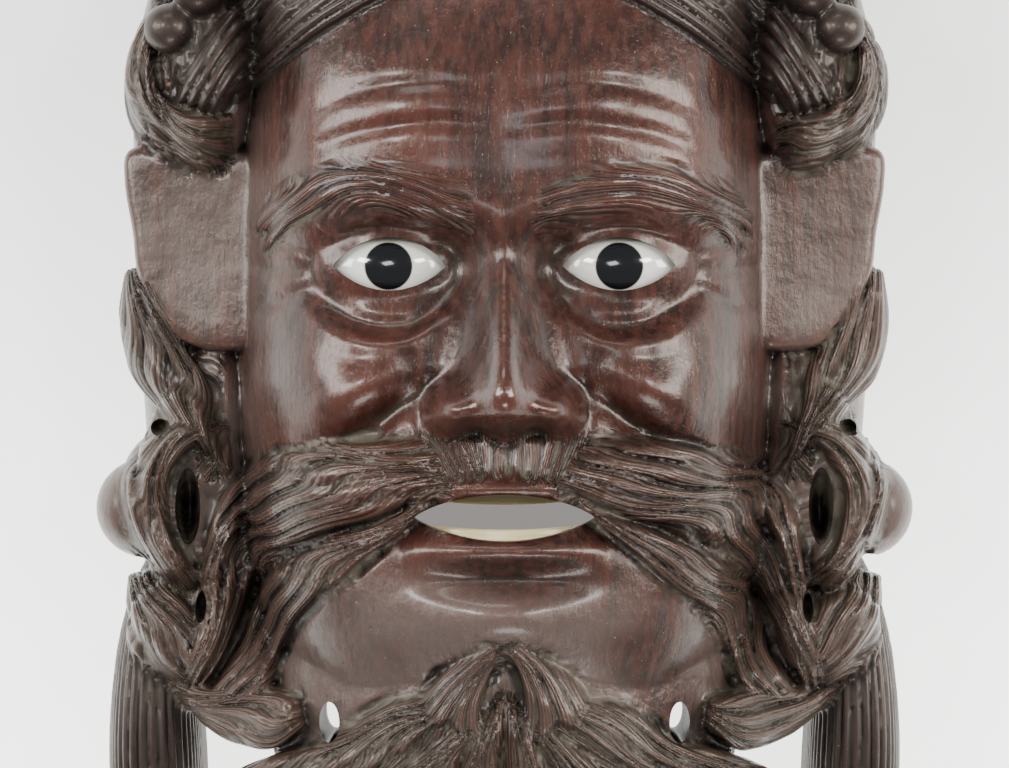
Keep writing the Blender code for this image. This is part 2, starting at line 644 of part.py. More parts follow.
def hollow_cutters():
    share = WALL / SHARE
    return [
        round_form("face_hollow", HEAD_ROWS, half_round(HEAD_ROWS, HEAD_POWERS, shrink=share), 24, 20),
        round_form("hair_hollow", HAIR_ROWS, half_round(HAIR_ROWS, HAIR_POWERS, shrink=share), 24, 20),
    ]


def material(name, colour, roughness, coat=0.0):
    made = bpy.data.materials.new(name)
    made.use_nodes = True
    shader = made.node_tree.nodes["Principled BSDF"]
    shader.inputs["Base Color"].default_value = (*colour, 1)
    shader.inputs["Roughness"].default_value = roughness
    shader.inputs["Metallic"].default_value = 0
    shader.inputs["Coat Weight"].default_value = coat
    return made


def skin_and_thin(carving):
    """Makes the block one closed skin, and thins it to the triangles that the solid may have."""
    skin = carving.modifiers.new("One skin", "REMESH")
    skin.mode = "VOXEL"
    skin.voxel_size = CARVING_VOXEL
    graph = bpy.context.evaluated_depsgraph_get()
    faces = len(carving.evaluated_get(graph).data.polygons)
    even = carving.modifiers.new("Evened", "SMOOTH")
    even.factor = 0.5
    even.iterations = 2
    thin = carving.modifiers.new("Thinned", "DECIMATE")
    thin.ratio = CARVING_TRIANGLES / (2 * faces)


def cut(carving, meshes, cutters):
    for mesh in meshes:
        cutter = place("cut_" + mesh.name, mesh, cutters)
        cutter.hide_render = True
        cutter.display_type = "WIRE"
        modifier = carving.modifiers.new(cutter.name, "BOOLEAN")
        modifier.operation = "DIFFERENCE"
        modifier.solver = "MANIFOLD"
        modifier.object = cutter


def centre_shift(carving):
    """How far the solid's middle is from the origin, in X and Y."""
    graph = bpy.context.evaluated_depsgraph_get()
    corners = np.array([corner[:] for corner in carving.evaluated_get(graph).bound_box])
    middle = (corners.min(0) + corners.max(0)) / 2
    return middle[0], middle[1]


def main():
    for old in list(bpy.data.objects):
        bpy.data.objects.remove(old)
    parts = collection("wooden_mask")
    cutters = collection("cutters")

    wood = material("rosewood", (0.085, 0.035, 0.025), 0.38, coat=0.3)
    glass = material("eye_glass", (0.80, 0.80, 0.74), 0.08, coat=1.0)
    bone = material("bone", (0.78, 0.72, 0.50), 0.35)

    carving = place("carved_mask", carving_block(), parts)
    carving.data.materials.append(wood)
    skin_and_thin(carving)
    cut(carving, hollow_cutters(), cutters)
    cut(carving, [half for mesh in eye_cutters() for half in both_sides(mesh)], cutters)
    cut(carving, mouth_cutters(), cutters)
    cut(carving, both_sides(beard_hole_cutter()), cutters)
    cut(carving, pit_cutters(), cutters)
    cut(carving, [floor_cutter()], cutters)

    right, left = both_sides(eye_mesh())
    pieces = {"glass_eye_right": (right, glass), "glass_eye_left": (left, glass)}
    for name, level in teeth_levels().items():
        pieces[name] = (teeth_mesh(level), bone)
    for name, (mesh, finish) in pieces.items():
        piece = place(name, mesh, parts)
        piece.data.materials.clear()
        piece.data.materials.append(finish)
        piece.data.shade_smooth()

    bpy.context.view_layer.update()
    x, y = centre_shift(carving)
    for piece in [*parts.objects, *cutters.objects]:
        piece.location = (-x, -y, 0)


main()
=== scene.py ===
"""The looks of the carved wooden mask: fine carving over the solids' forms, and every finish.

Design points are in shares of the mask's height, where one share is 1 mm on a 300 mm mask:
x to the viewer's right, y up the face, z out of the face.
"""

import math

import bmesh
import bpy
import numpy as np
from mathutils import Matrix, Vector
from mathutils.kdtree import KDTree

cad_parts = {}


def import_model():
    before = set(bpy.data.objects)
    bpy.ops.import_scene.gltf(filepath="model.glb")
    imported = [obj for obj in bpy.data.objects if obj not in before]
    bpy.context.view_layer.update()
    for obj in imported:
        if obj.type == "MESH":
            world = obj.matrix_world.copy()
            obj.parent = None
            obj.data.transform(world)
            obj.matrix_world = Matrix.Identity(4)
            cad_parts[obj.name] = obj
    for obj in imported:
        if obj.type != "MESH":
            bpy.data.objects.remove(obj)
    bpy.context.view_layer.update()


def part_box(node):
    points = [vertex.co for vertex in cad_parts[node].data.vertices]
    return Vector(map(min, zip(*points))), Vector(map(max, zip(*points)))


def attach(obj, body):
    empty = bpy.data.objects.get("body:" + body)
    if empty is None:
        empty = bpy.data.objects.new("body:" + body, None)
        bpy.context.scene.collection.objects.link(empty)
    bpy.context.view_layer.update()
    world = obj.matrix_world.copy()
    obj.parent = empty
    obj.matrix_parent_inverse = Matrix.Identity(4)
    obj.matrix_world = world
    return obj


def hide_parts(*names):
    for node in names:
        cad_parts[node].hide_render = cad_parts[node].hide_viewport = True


# Real sizes, in metres
MASK_HEIGHT = 0.300
SHARE = MASK_HEIGHT / 300
WALL = 0.011
SEAT_GAP = 0.0003
EYE_WIDTH = 0.033
EYE_HEIGHT = 0.021
EYE_DEPTH = 0.018
EYE_SPACING = 0.056
LID_OPENING_WIDTH = 0.0275
LID_OPENING_HEIGHT = 0.0130
PUPIL_DIAMETER = 0.0118
MOUTH_WIDTH = 0.044
MOUTH_GAPE = 0.0115
TEETH_THICKNESS = 0.003
TEETH_HEIGHT = 0.0085
TEETH_GAP = 0.006
TEETH_END_HOLD = 0.004
BEARD_HOLE_WIDTH = 0.005
BEARD_HOLE_HEIGHT = 0.010
BALL_DIAMETER = 0.0125
FLOOR_CUT = 0.030
# Some of them in shares
EYE_SIDE = EYE_SPACING / SHARE / 2
HALF_MOUTH = MOUTH_WIDTH / SHARE / 2
HALF_GAPE = MOUTH_GAPE / SHARE / 2
BALL_RADIUS = BALL_DIAMETER / SHARE / 2

# The skin over the whole carving: its voxels' size, its triangles, how it is smoothed before and
# after the strands are cut, how far its hollows are felt for, and the angle that stays a sharp edge
SKIN_VOXEL = 0.00065
SKIN_TRIANGLES = 380000
SKIN_SMOOTHING = 3
STRAND_SMOOTHING = 0.35
HOLLOW_ROUNDS = 14
SHARP_ANGLE = 60

# Rows up the face: height on the face, half width, depth
HEAD_ROWS = (
    (-104, 0, 0), (-101, 26, 38), (-93, 43, 60), (-80, 56, 74), (-66, 62, 82), (-50, 66, 85),
    (-30, 69, 85), (-10, 71, 83), (12, 71.5, 82), (30, 71.5, 83), (42, 71.5, 85), (60, 71, 85),
    (80, 69, 82), (96, 65, 77), (112, 59, 69), (128, 49, 56), (140, 35, 40), (147, 18, 22), (150, 0, 0),
)
HAIR_ROWS = (
    (-84, 0, 0), (-79, 44, 20), (-66, 78, 34), (-46, 87, 38), (-20, 91, 38), (10, 93, 38),
    (40, 93, 38), (60, 95, 38), (80, 95, 38), (96, 92, 38), (112, 86, 38), (128, 71, 36),
    (140, 50, 29), (147, 26, 18), (150, 0, 0),
)
# Rows down the beard: height on the face, half width, front depth, back depth
BEARD_ROWS = (
    (-146, 0, 56, 54), (-143, 12, 60, 46), (-132, 27, 66, 42), (-118, 42, 73, 43), (-104, 52, 78, 45),
    (-90, 58, 81, 47), (-75, 60, 82, 50), (-62, 46, 80, 56), (-56, 0, 70, 68),
)
# How square a form's section is, across and upwards
HEAD_POWERS = (3.4, 2.1)
HAIR_POWERS = (5.0, 2.6)
# The ground beside the head: where it starts, its height there and its slope
SHOULDER = (72, 39, 0.30)
# How far the beard's front has dropped back, and at what distance from the middle
BEARD_CURVE = (26, 62)

# What most bundles of locks share, and most bands of cloth
LOCKS = dict(locks=3, tips=0.0, pitch=3.6, cut=1.0)
CLOTH_BAND = dict(locks=1, relief=0.0, wave=0.0, tips=0.0)
# Lines that a bundle of locks runs between, on one side, and how the bundle is cut: locks across
# it, how far it stands off the ground, how far it bulges, how deep the grooves between its locks
# are, how far the locks sway, how uneven their tips are, and the strands' pitch and depth
BUNDLES = {
    "brow": dict(
        LOCKS, locks=2, lift=1.6, crown=1.2, relief=0.7, wave=0.6, tips=0.10, pitch=3.0, cut=0.5,
        upper=((8, 46), (22, 53), (38, 53), (53, 48), (62.5, 40.5)),
        lower=((9, 38), (22, 42), (38, 43), (51, 38.5), (58, 32))),
    "temple": dict(
        LOCKS, lift=3.5, crown=3.0, relief=1.9, wave=0.7,
        upper=((69, 66), (79, 68.5), (85.5, 74), (86.5, 83), (83, 93)),
        lower=((69, 52), (80, 54), (90, 61), (95.5, 73), (94, 84), (87, 97))),
    "swirl": dict(
        LOCKS, locks=2, lift=3.5, crown=4.0, relief=2.2, wave=0.7, cut=1.05,
        upper=((90, 30), (83, 21), (75, 6), (71, -8), (69, -22)),
        lower=((95.5, 28.5), (97, 16), (94.5, 4), (88, -5), (78, -14))),
    "bun": dict(
        LOCKS, lift=5.5, crown=3.0, relief=2.0, wave=0.6,
        upper=((70, -11), (78, -17), (83, -26), (81.5, -38), (73, -49)),
        lower=((74, -7), (88, -11), (96, -22), (94, -36), (84, -54))),
    "curl": dict(
        LOCKS, lift=5.0, crown=2.5, relief=2.0, wave=0.6,
        upper=((88, -46), (84, -49), (79, -53), (76, -58), (74, -64)),
        lower=((95, -48), (95, -57), (91, -65), (86, -72), (80, -77))),
    "moustache": dict(
        LOCKS, locks=4, lift=6.5, crown=4.0, relief=2.3, wave=1.2, pitch=4.0, cut=1.15,
        upper=((18, -13), (32, -13), (47, -14.5), (61, -19), (71, -28), (75, -42), (77, -56), (82, -72)),
        lower=((12, -26), (27, -32), (41, -36), (53, -41), (61, -48), (66, -58), (70, -69), (77, -79))),
    "cheek": dict(
        LOCKS, lift=4.0, crown=2.5, relief=1.8, wave=0.9, cut=1.05,
        upper=((16, -27), (30, -33), (44, -38), (56, -45), (63, -54), (67, -66), (76, -79)),
        lower=((20, -32), (29, -39), (38, -47), (48, -56), (54, -65), (58, -74), (68, -83))),
    "lip": dict(
        LOCKS, lift=1.5, crown=0.0, relief=0.7, wave=0.3, tips=0.3, pitch=2.8, cut=0.6,
        upper=((0, -12), (0, -17), (0, -24)),
        lower=((23, -13), (20, -18), (15, -27))),
    "jaw": dict(
        LOCKS, lift=4.0, crown=3.0, relief=1.8, wave=0.8, tips=0.05,
        upper=((84, -75), (72, -74.5), (60, -74.5), (50, -77)),
        lower=((81, -80), (70, -88), (58, -90.5), (49, -84))),
    "beard_side": dict(
        LOCKS, locks=4, lift=2.5, crown=2.5, relief=2.2, wave=0.9, tips=0.14, pitch=3.8, cut=1.1,
        upper=((14, -75), (30, -78), (42, -87), (55, -91), (69, -98), (76, -111), (70, -124)),
        lower=((6, -80), (23, -94), (37, -107), (49, -118), (56, -128), (58, -137))),
    "beard_middle": dict(
        LOCKS, lift=3.5, crown=2.5, relief=2.2, wave=0.9, tips=0.10, pitch=3.8, cut=1.1,
        upper=((6, -78), (24, -93), (38, -106), (48, -118), (52, -130), (45, -141)),
        lower=((3, -80), (12, -97), (20, -114), (27, -129), (30, -140), (26, -147))),
    "beard_front": dict(
        LOCKS, lift=4.5, crown=2.0, relief=2.0, wave=0.6, tips=0.06, pitch=3.8,
        upper=((4, -79), (12, -95), (20, -113), (26, -128), (26, -139), (16, -147)),
        lower=((0, -76), (0, -92), (0, -112), (0, -130), (0, -142), (0, -150))),
    "tuft": dict(
        LOCKS, locks=2, lift=4.0, crown=2.0, relief=1.5, wave=0.9, tips=0.10, pitch=3.0, cut=0.8,
        upper=((0, -62), (9, -65), (17, -71), (25, -82)),
        lower=((0, -64), (3, -71), (4, -79), (3, -90))),
    "wrap": dict(
        CLOTH_BAND, lift=6.0, crown=1.0, pitch=3.2, cut=1.5,
        upper=((0, 125), (30, 121), (52, 111), (68, 94), (80, 76)),
        lower=((0, 101), (24, 96), (40, 88.5), (53, 80.5), (70, 69))),
    "wrap_end": dict(
        CLOTH_BAND, lift=9.0, crown=0.5, pitch=3.1, cut=1.6,
        upper=((60, 103), (67, 94), (75, 82), (82, 70)),
        lower=((48, 94), (55, 87), (63, 78), (70.5, 66))),
    "cap": dict(
        CLOTH_BAND, locks=8, lift=1.0, crown=0.5, relief=0.6, pitch=3.4, cut=0.8,
        upper=((0, 114), (0, 128), (0, 140), (0, 148)),
        lower=((86, 76), (89, 98), (77, 121), (44, 143))),
}
# All that is cut into strands or ribs, and what of it is cloth
STRANDS = {**BUNDLES, "tail": dict(pitch=2.4, cut=1.1)}
CLOTH = ("wrap", "wrap_end", "cap", "tail")
# How far beyond a bundle its strands go on: on the face and the ears, over the sides of the head,
# on the bare outer side of the bun, and none on the balls; and how far the cloth's ribs do
FACE_REACH = 2.0
SIDE_REACH = 9.0
BUN_REACH = 0.8
BALL_REACH = -9.0
CLOTH_REACH = 2.6
# Where the side of the head starts, the heights that an ear takes up, and the bare part of the bun
HAIR_SIDE = 70
EAR_SPAN = (8, 62)
BUN_SIDE = 93.5
BUN_SPAN = (-46, -14)
# How high over the floor the strands are cut from, and their finish laid from
CUT_FROM = 2.0
LAID_FROM = 1.0
# How far the strands wander: by how much, at what rates along and across, and the left side's shift
WANDERS = ((0.45, 0.10, 0.23, 9), (0.20, 0.19, 0.4, 0))
LEFT_SHIFT = 0.37
# How deep a strand and its finer lines are cut, how many of those it has, and the level left uncut
STRAND_CUT = 1.15
FINE_CUT = 0.35
FINE_LINES = 3
UNCUT_LEVEL = 0.85
# How far a bundle's hair is dry and unvarnished, where that isn't the whole way
DRYNESS = dict(brow=0.15, lip=0.4, tuft=0.7, moustache=0.7, cheek=0.8)
# How far an edge sinks and how deep a bundle's body goes, in shares; how far its locks sway to
# the side and how often; how round hair and cloth are across; and how their ends slope off
EDGE_DROP = 2.0
SHEET_DEPTH = 10.0
SWAY = 0.22
SWAYS = 1.4
HAIR_EDGE = 3
CLOTH_EDGE = 8
END_SLOPE = 0.12
END_HEIGHT = 0.25
# The balls on the wrap, and how far each is sunk in it
BALL_PLACES = ((83, 88), (76, 97), (66, 106), (54, 114), (41, 120), (27, 125), (12, 128))
BALL_SINK = 0.25
# Dark openings between the locks: place on the face and half sizes, then middle depth and half depth
PITS = (((78.6, -30.5), (3.2, 10.0)), ((86, -10.5), (3.2, 2.3)), ((75.5, -55), (1.7, 4.2)))
PIT_DEPTHS = (52, 14)

# The eyes: their level on the face, their height over the floor, how thick the lids are and how
# softly they join the face, the opening's parts above and below, and how far the seat is drawn out
EYE_LEVEL = 28.75
EYE_SINK = 67.0
LID_THICKNESS = 2.2
LID_BLEND = 1.6
LID_PARTS = (0.54, 0.46)
SEAT_STRETCH = 4
# The mouth's level, the teeth's height over the floor, and how far their ends bend back and up
MOUTH_LEVEL = -32.5
TEETH_SINK = 74.0
TEETH_BOW = 5.0
TEETH_SAG = 1.5
BEARD_HOLE_PLACE = (43, -83)
# Rounded masses that the locks of one side are laid on: centre and half sizes
MASSES = {
    "bun": ((90, -31, 32), (12.5, 12.5, 12.5)),
    "wrap_core": ((74, 76, 42), (12, 24, 15)),
    "cheek_core": ((72, -8, 34), (9, 20, 11)),
    "temple_core": ((82, 75, 36), (14, 21, 12)),
    "side_core": ((78, -26, 38), (14, 26, 12)),
    "curl_core": ((78, -62, 36), (17, 15, 9)),
}
# The ear's outline, closed, then the share it is taken in by and the height of each level of its front
EAR_OUTLINE = (
    (59, 57), (84, 59), (94, 58.5), (95, 50), (93, 38), (91.5, 27), (86, 17), (76, 9), (59, 14), (59, 57),
)
EAR_LEVELS = (
    (0, -12), (0, 45.8), (0.012, 47.1), (0.035, 48.0), (0.08, 48.5), (0.2, 48.6), (0.5, 48.1), (0.8, 47.8),
)
EAR_SLANT = 0.22
# Rows down a hanging tail of the wrap: height on the face, inner edge, outer edge, depth
TAIL_ROWS = (
    (-38, 76, 88, 22), (-50, 77, 94, 32), (-64, 77.5, 98, 37), (-80, 77, 100, 39),
    (-96, 76, 100.5, 39), (-108, 76, 99, 37), (-112, 78, 96, 33),
)
# Swellings and hollows of the face, on one side: place, radii and height
FACE_FORMS = (
    ((27, 29), (17, 11), -9), ((12, 29), (7, 9), -6), ((24, 44), (24, 6), 3.5), ((44, 3), (17, 13), 5),
    ((38, -30), (16, 14), -2), ((20, 68), (18, 14), 2), ((60, 50), (8, 16), -3),
)


def smooth_path(points, steps=10):
    """Points along the Catmull-Rom curve through the given ones."""
    points = np.array(points, float)
    ends = np.vstack([2 * points[0] - points[1], points, 2 * points[-1] - points[-2]])
    t = np.linspace(0, 1, steps, endpoint=False)[:, None]
    spans = []
    for a, b, c, d in zip(ends, ends[1:], ends[2:], ends[3:]):
        bend = 2 * a - 5 * b + 4 * c - d
        twist = 3 * b - a - 3 * c + d
        spans.append(0.5 * (2 * b + (c - a) * t + bend * t**2 + twist * t**3))
    return np.vstack([*spans, points[-1:]])


def resampled(path, count):
    """The path as a number of points evenly spaced along it."""
    along = np.concatenate([[0], np.cumsum(np.linalg.norm(np.diff(path, axis=0), axis=1))])
    at = np.linspace(0, along[-1], count)
    return np.stack([np.interp(at, along, path[:, k]) for k in range(path.shape[1])], axis=1)


def row_values(rows, y):
    """Each column of the rows, read smoothly at the heights y."""
    path = smooth_path(rows)
    return [np.interp(y, path[:, 0], path[:, k]) for k in range(1, path.shape[1])]


def rise(low, high, value):
    """0 below low, 1 above high, and smooth between them."""
    t = np.clip((value - low) / (high - low), 0, 1)
    return t * t * (3 - 2 * t)


def bump(x, y, centre, radii, height):
    """A round swelling, or a hollow where the height is negative."""
    return height * np.exp(-(((x - centre[0]) / radii[0]) ** 2) - ((y - centre[1]) / radii[1]) ** 2)


def groove(x, y, points, width, depth):
    """A cut that follows a line and runs out at both ends; a negative depth raises a fold."""
    path = resampled(smooth_path(points), 24)
    low, high = path.min(0) - 4 * width, path.max(0) + 4 * width
    near = (x > low[0]) & (x < high[0]) & (y > low[1]) & (y < high[1])
    made = np.zeros(np.shape(x))
    px, py = x[near], y[near]
    best = np.full(px.shape, 1e9)
    share = np.zeros(px.shape)
    for k, (a, b) in enumerate(zip(path, path[1:])):
        span = b - a
        t = np.clip(((px - a[0]) * span[0] + (py - a[1]) * span[1]) / (span @ span), 0, 1)
        gap = np.hypot(px - a[0] - t * span[0], py - a[1] - t * span[1])
        share = np.where(gap < best, (k + t) / (len(path) - 1), share)
        best = np.minimum(best, gap)
    made[near] = -depth * np.exp(-((best / width) ** 2)) * np.sin(np.pi * np.clip(share, 0.04, 0.96)) ** 0.6
    return made


def form_height(x, y, rows, powers, shrink=0.0):
    """Height over the floor of a half-round form, taken in on every side by shrink."""
    width, depth = row_values(rows, y)
    across = np.abs(x) / np.maximum(width - shrink, 1e-6)
    return np.maximum(depth - shrink, 0) * np.maximum(1 - across ** powers[0], 0) ** (1 / powers[1])


def lens_height(x, y, grow):
    """Height of a lid that is grow thicker than the eyeball, and minus a large number off the ball."""
    rx = EYE_WIDTH / SHARE / 2 + grow
    ry = EYE_HEIGHT / SHARE / 2 + grow
    rz = EYE_DEPTH / SHARE / 2 + grow
    inside = 1 - ((x - EYE_SIDE) / rx) ** 2 - ((y - EYE_LEVEL) / ry) ** 2
    return np.where(inside > 0, EYE_SINK + rz * np.sqrt(np.maximum(inside, 0)), -1e3)


def nose(side, y):
    """The nose, from its root between the brows to its tip."""
    rows = (
        (-19, 0, 8), (-15, 0.5, 9), (-12, 7, 10), (-8.5, 19, 10), (-4, 24, 9.5), (2, 23, 8.6),
        (10, 17.5, 7.4), (20, 11, 6.6), (30, 5, 7), (38, 3, 9), (46, 0, 12),
    )
    height, width = row_values(rows, y)
    ridge = np.where((y > -19) & (y < 46), height, 0) * np.exp(-((side / width) ** 2))
    wings = bump(side, y, (13, -6.5), (6, 6), 11.5)
    nostrils = bump(side, y, (7.5, -13), (3.4, 3), -8)
    return ridge + wings + nostrils + groove(side, y, ((13, 3), (19, -1), (20.5, -8), (17, -13)), 1.8, 3.0)


def lips(side, y):
    """Two parted lips, the dip above the chin and the chin."""
    level = y - MOUTH_LEVEL
    fade = np.clip(1 - (side / (HALF_MOUTH + 3)) ** 2, 0, 1)
    upper = 4.0 * np.exp(-(((level - HALF_GAPE - 1.5) / 3.0) ** 2)) * fade
    lower = 5.0 * np.exp(-(((level + HALF_GAPE + 2.2) / 3.6) ** 2)) * fade**0.8
    corners = bump(side, y, (HALF_MOUTH + 2, MOUTH_LEVEL), (5, 5), -3.5)
    dip = bump(side, y, (0, MOUTH_LEVEL - 15.5), (17, 3.2), -4.0)
    chin = bump(side, y, (0, MOUTH_LEVEL - 25), (17, 9), 6.5)
    return upper + lower + corners + dip + chin


def folds(side, y):
    """Age lines: brow furrows, the pouch under each eye, crow's feet and the cheek fold."""
    lines = (
        (((2, 62), (18, 63.5), (36, 61), (50, 56)), 2.0, 1.1),
        (((2, 71), (18, 73), (36, 71), (48, 66)), 2.0, 1.0),
        (((14, 20), (24, 14.5), (36, 15.5), (46, 22)), 2.2, 2.2),
        (((14, 16.5), (24, 10), (38, 10.5), (50, 18)), 2.4, -1.4),
        (((47, 32), (54, 35), (62, 40)), 1.6, 1.4),
        (((48, 28), (56, 28), (64, 30)), 1.6, 1.4),
        (((47, 24), (54, 21), (62, 18)), 1.6, 1.4),
        (((20, -1), (29, -8), (37, -14), (44, -16)), 3.0, 4.0),
        (((23, 7), (33, 0), (43, -6), (50, -12)), 5.0, -2.6),
        (((15, 38), (21, 37.6), (28, 38.5), (36, 37), (43, 33)), 1.5, 1.8),
    )
    return sum(groove(side, y, points, width, depth) for points, width, depth in lines)


def face_height(x, y):
    """Height over the floor of the head with its face."""
    side = np.abs(x)
    ground = form_height(x, y, HEAD_ROWS, HEAD_POWERS)
    forms = sum(bump(side, y, *form) for form in FACE_FORMS)
    modelling = forms + nose(side, y) + lips(side, y) + folds(side, y)
    height = ground + modelling * rise(0.0, 22.0, ground)
    lid = lens_height(side, y, LID_THICKNESS)
    both = np.logaddexp(height / LID_BLEND, lid / LID_BLEND) * LID_BLEND
    return np.where(lid > 0, both, height)


def ground_height(x, y):
    """Height that the hair is laid on, without the drop at the edges of the forms."""
    start, height, slope = SHOULDER
    shoulder = height - slope * np.maximum(np.abs(x) - start, 0)
    head = np.maximum(form_height(x, y, HEAD_ROWS, HEAD_POWERS), shoulder)
    front = row_values(BEARD_ROWS, y)[1]
    beard = np.maximum(front - BEARD_CURVE[0] * (x / BEARD_CURVE[1]) ** 2, shoulder)
    share = rise(56, 78, -y)
    ground = (1 - share) * head + share * beard
    for centre, half_sizes in MASSES.values():
        across = (np.abs(x) - centre[0]) / half_sizes[0]
        along = (y - centre[1]) / half_sizes[1]
        inside = 1 - across**2 - along**2
        top = centre[2] + half_sizes[2] * np.sqrt(np.maximum(inside, 0))
        ground = np.where(inside < 0, ground, np.maximum(ground, top))
    return ground


def ridges(values):
    """Rounded crests with sharp grooves between them, from 0 in a groove to 1 on a crest."""
    return np.abs(np.sin(np.pi * values)) ** 0.7


def bundle_grid(bundle, across, along):
    """The top of a bundle as a grid of points, and the distance across it at each line of the grid."""
    t = np.linspace(0, 1, across)[:, None]
    s = np.linspace(0, 1, along)[None, :]
    upper = smooth_path(bundle["upper"])
    lower = smooth_path(bundle["lower"])
    sway = SWAY * np.sin(2 * np.pi * s * SWAYS + bundle["locks"]) * np.sin(np.pi * s) * bundle["wave"]
    locks = ridges(t * bundle["locks"] + sway)
    reach = s * (1 - bundle["tips"] * (1 - locks) * s)
    places = np.linspace(0, 1, 200)
    sides = []
    for line in (upper, lower):
        even = resampled(line, 200)
        sides.append(np.stack([np.interp(reach, places, even[:, k]) for k in range(2)], axis=2))
    xy = sides[0] + (sides[1] - sides[0]) * t[:, :, None]
    edge = HAIR_EDGE if bundle["wave"] else CLOTH_EDGE
    dome = (1 - np.abs(2 * t - 1) ** edge) ** 0.5
    run = np.minimum(1, s / END_SLOPE) ** 0.6 * np.minimum(1, (1 - s) / END_SLOPE) ** 0.6
    full = dome * (END_HEIGHT + (1 - END_HEIGHT) * run)
    height = (bundle["lift"] + bundle["crown"] * np.sin(np.pi * t)) * full
    height = height - EDGE_DROP * (1 - full) - bundle["relief"] * (1 - locks)
    z = ground_height(xy[:, :, 0], xy[:, :, 1]) + height
    spread = np.linalg.norm(sides[1] - sides[0], axis=2)
    return np.dstack([xy, z]), t[:, 0] * np.median(spread)


def sheet_mesh(name, bundle, across=56, along=120):
    """The body of a bundle: its top, and a bottom that lies inside the block."""
    top, _ = bundle_grid(bundle, across, along)
    bottom = top.copy()
    bottom[:, :, 2] = ground_height(top[:, :, 0], top[:, :, 1]) - SHEET_DEPTH
    return shell_mesh(name, top, bottom)


def shell_mesh(name, top, bottom):
    """A closed mesh between two grids of points of one size, in shares."""
    rows, columns = top.shape[:2]
    index = np.arange(rows * columns).reshape(rows, columns)
    under = index + rows * columns
    a, b, c, d = index[:-1, :-1], index[1:, :-1], index[1:, 1:], index[:-1, 1:]
    faces = [np.stack([a, b, c, d], 2).reshape(-1, 4)]
    a, b, c, d = under[:-1, :-1], under[1:, :-1], under[1:, 1:], under[:-1, 1:]
    faces.append(np.stack([a, d, c, b], 2).reshape(-1, 4))
    border = np.concatenate([index[0, :-1], index[:-1, -1], index[-1, :0:-1], index[:0:-1, 0]])
    after = np.roll(border, -1)
    shift = rows * columns
    faces.append(np.stack([border, after, after + shift, border + shift], 1))
    points = np.vstack([top.reshape(-1, 3), bottom.reshape(-1, 3)]) * SHARE
    return mesh_from(name, points, np.vstack(faces).tolist())


def mesh_from(name, points, faces):
    mesh = bpy.data.meshes.new(name)
    mesh.from_pydata(points.tolist(), [], faces)
    return mesh


def mesh_of(name, bm):
    bmesh.ops.recalc_face_normals(bm, faces=bm.faces)
    mesh = bpy.data.meshes.new(name)
    bm.to_mesh(mesh)
    bm.free()
    return mesh


def lofted(name, rings):
    """A closed mesh through rings of points, in shares, with a flat face at each end."""
    rings = np.array(rings, float)
    index = np.arange(rings.shape[0] * rings.shape[1]).reshape(rings.shape[:2])
    after = np.roll(index, -1, axis=1)
    sides = np.stack([index[:-1], after[:-1], after[1:], index[1:]], 2).reshape(-1, 4).tolist()
    ends = index[[0, -1]].tolist()
    bm = bmesh.new()
    bm.from_mesh(mesh_from(name, rings.reshape(-1, 3) * SHARE, sides + ends))
    return mesh_of(name, bm)


def read_vectors(items, key):
    values = np.empty(len(items) * 3)
    items.foreach_get(key, values)
    return values.reshape(-1, 3)


def read_whole(items, key, size=1):
    """Whole numbers of a mesh's elements, size of them to a row."""
    values = np.empty(len(items) * size, np.int32)
    items.foreach_get(key, values)
    return values.reshape(-1, size)


def move_vertices(mesh, points):
    """Puts the vertices at the points, in metres, and gives the normals that they then have."""
    mesh.vertices.foreach_set("co", points.ravel())
    mesh.update()
    return read_vectors(mesh.vertex_normals, "vector")


def reshape(mesh, move):
    """Moves every vertex by a function of all of them, in shares, and scales the result to metres."""
    mesh.vertices.foreach_set("co", (move(read_vectors(mesh.vertices, "co")) * SHARE).ravel())
    mesh.update()


def in_scene(name, data):
    """A new object in the scene."""
    made = bpy.data.objects.new(name, data)
    bpy.context.scene.collection.objects.link(made)
    return made


def tree_of(points):
    """The points, ready to be searched for the nearest."""
    tree = KDTree(len(points))
    for k, point in enumerate(points):
        tree.insert(point, k)
    tree.balance()
    return tree


def ball_mesh(name, segments, rings):
    """A ball of radius 1 with its poles on Z."""
    down = np.pi * np.arange(1, rings) / rings
    turn = 2 * np.pi * np.arange(segments) / segments
    z = np.repeat(np.cos(down), segments)
    radius = np.repeat(np.sin(down), segments)
    turns = np.tile(turn, rings - 1)
    points = np.column_stack([radius * np.cos(turns), radius * np.sin(turns), z])
    points = np.vstack([points, (0, 0, 1), (0, 0, -1)])
    index = np.arange((rings - 1) * segments).reshape(rings - 1, segments)
    after = np.roll(index, -1, axis=1)
    sides = np.stack([index[:-1], index[1:], after[1:], after[:-1]], 2).reshape(-1, 4).tolist()
    top = [(a, b, len(points) - 2) for a, b in zip(index[0].tolist(), after[0].tolist())]
    foot = [(b, a, len(points) - 1) for a, b in zip(index[-1].tolist(), after[-1].tolist())]
    return mesh_from(name, points, sides + top + foot)


def round_form(name, rows, shape, segments=120, rings=160):
    """A sphere stretched over the rows; shape gives a vertex's place from the row and its angle."""
    mesh = ball_mesh(name, segments, rings)

    def move(points):
        down = np.arccos(np.clip(points[:, 2], -1, 1)) / np.pi
        y = rows[0][0] + (rows[-1][0] - rows[0][0]) * (1 - down)
        angle = np.arctan2(points[:, 1], points[:, 0])
        return shape(y, np.cos(angle), np.sin(angle))

    reshape(mesh, move)
    mesh.flip_normals()
    return mesh


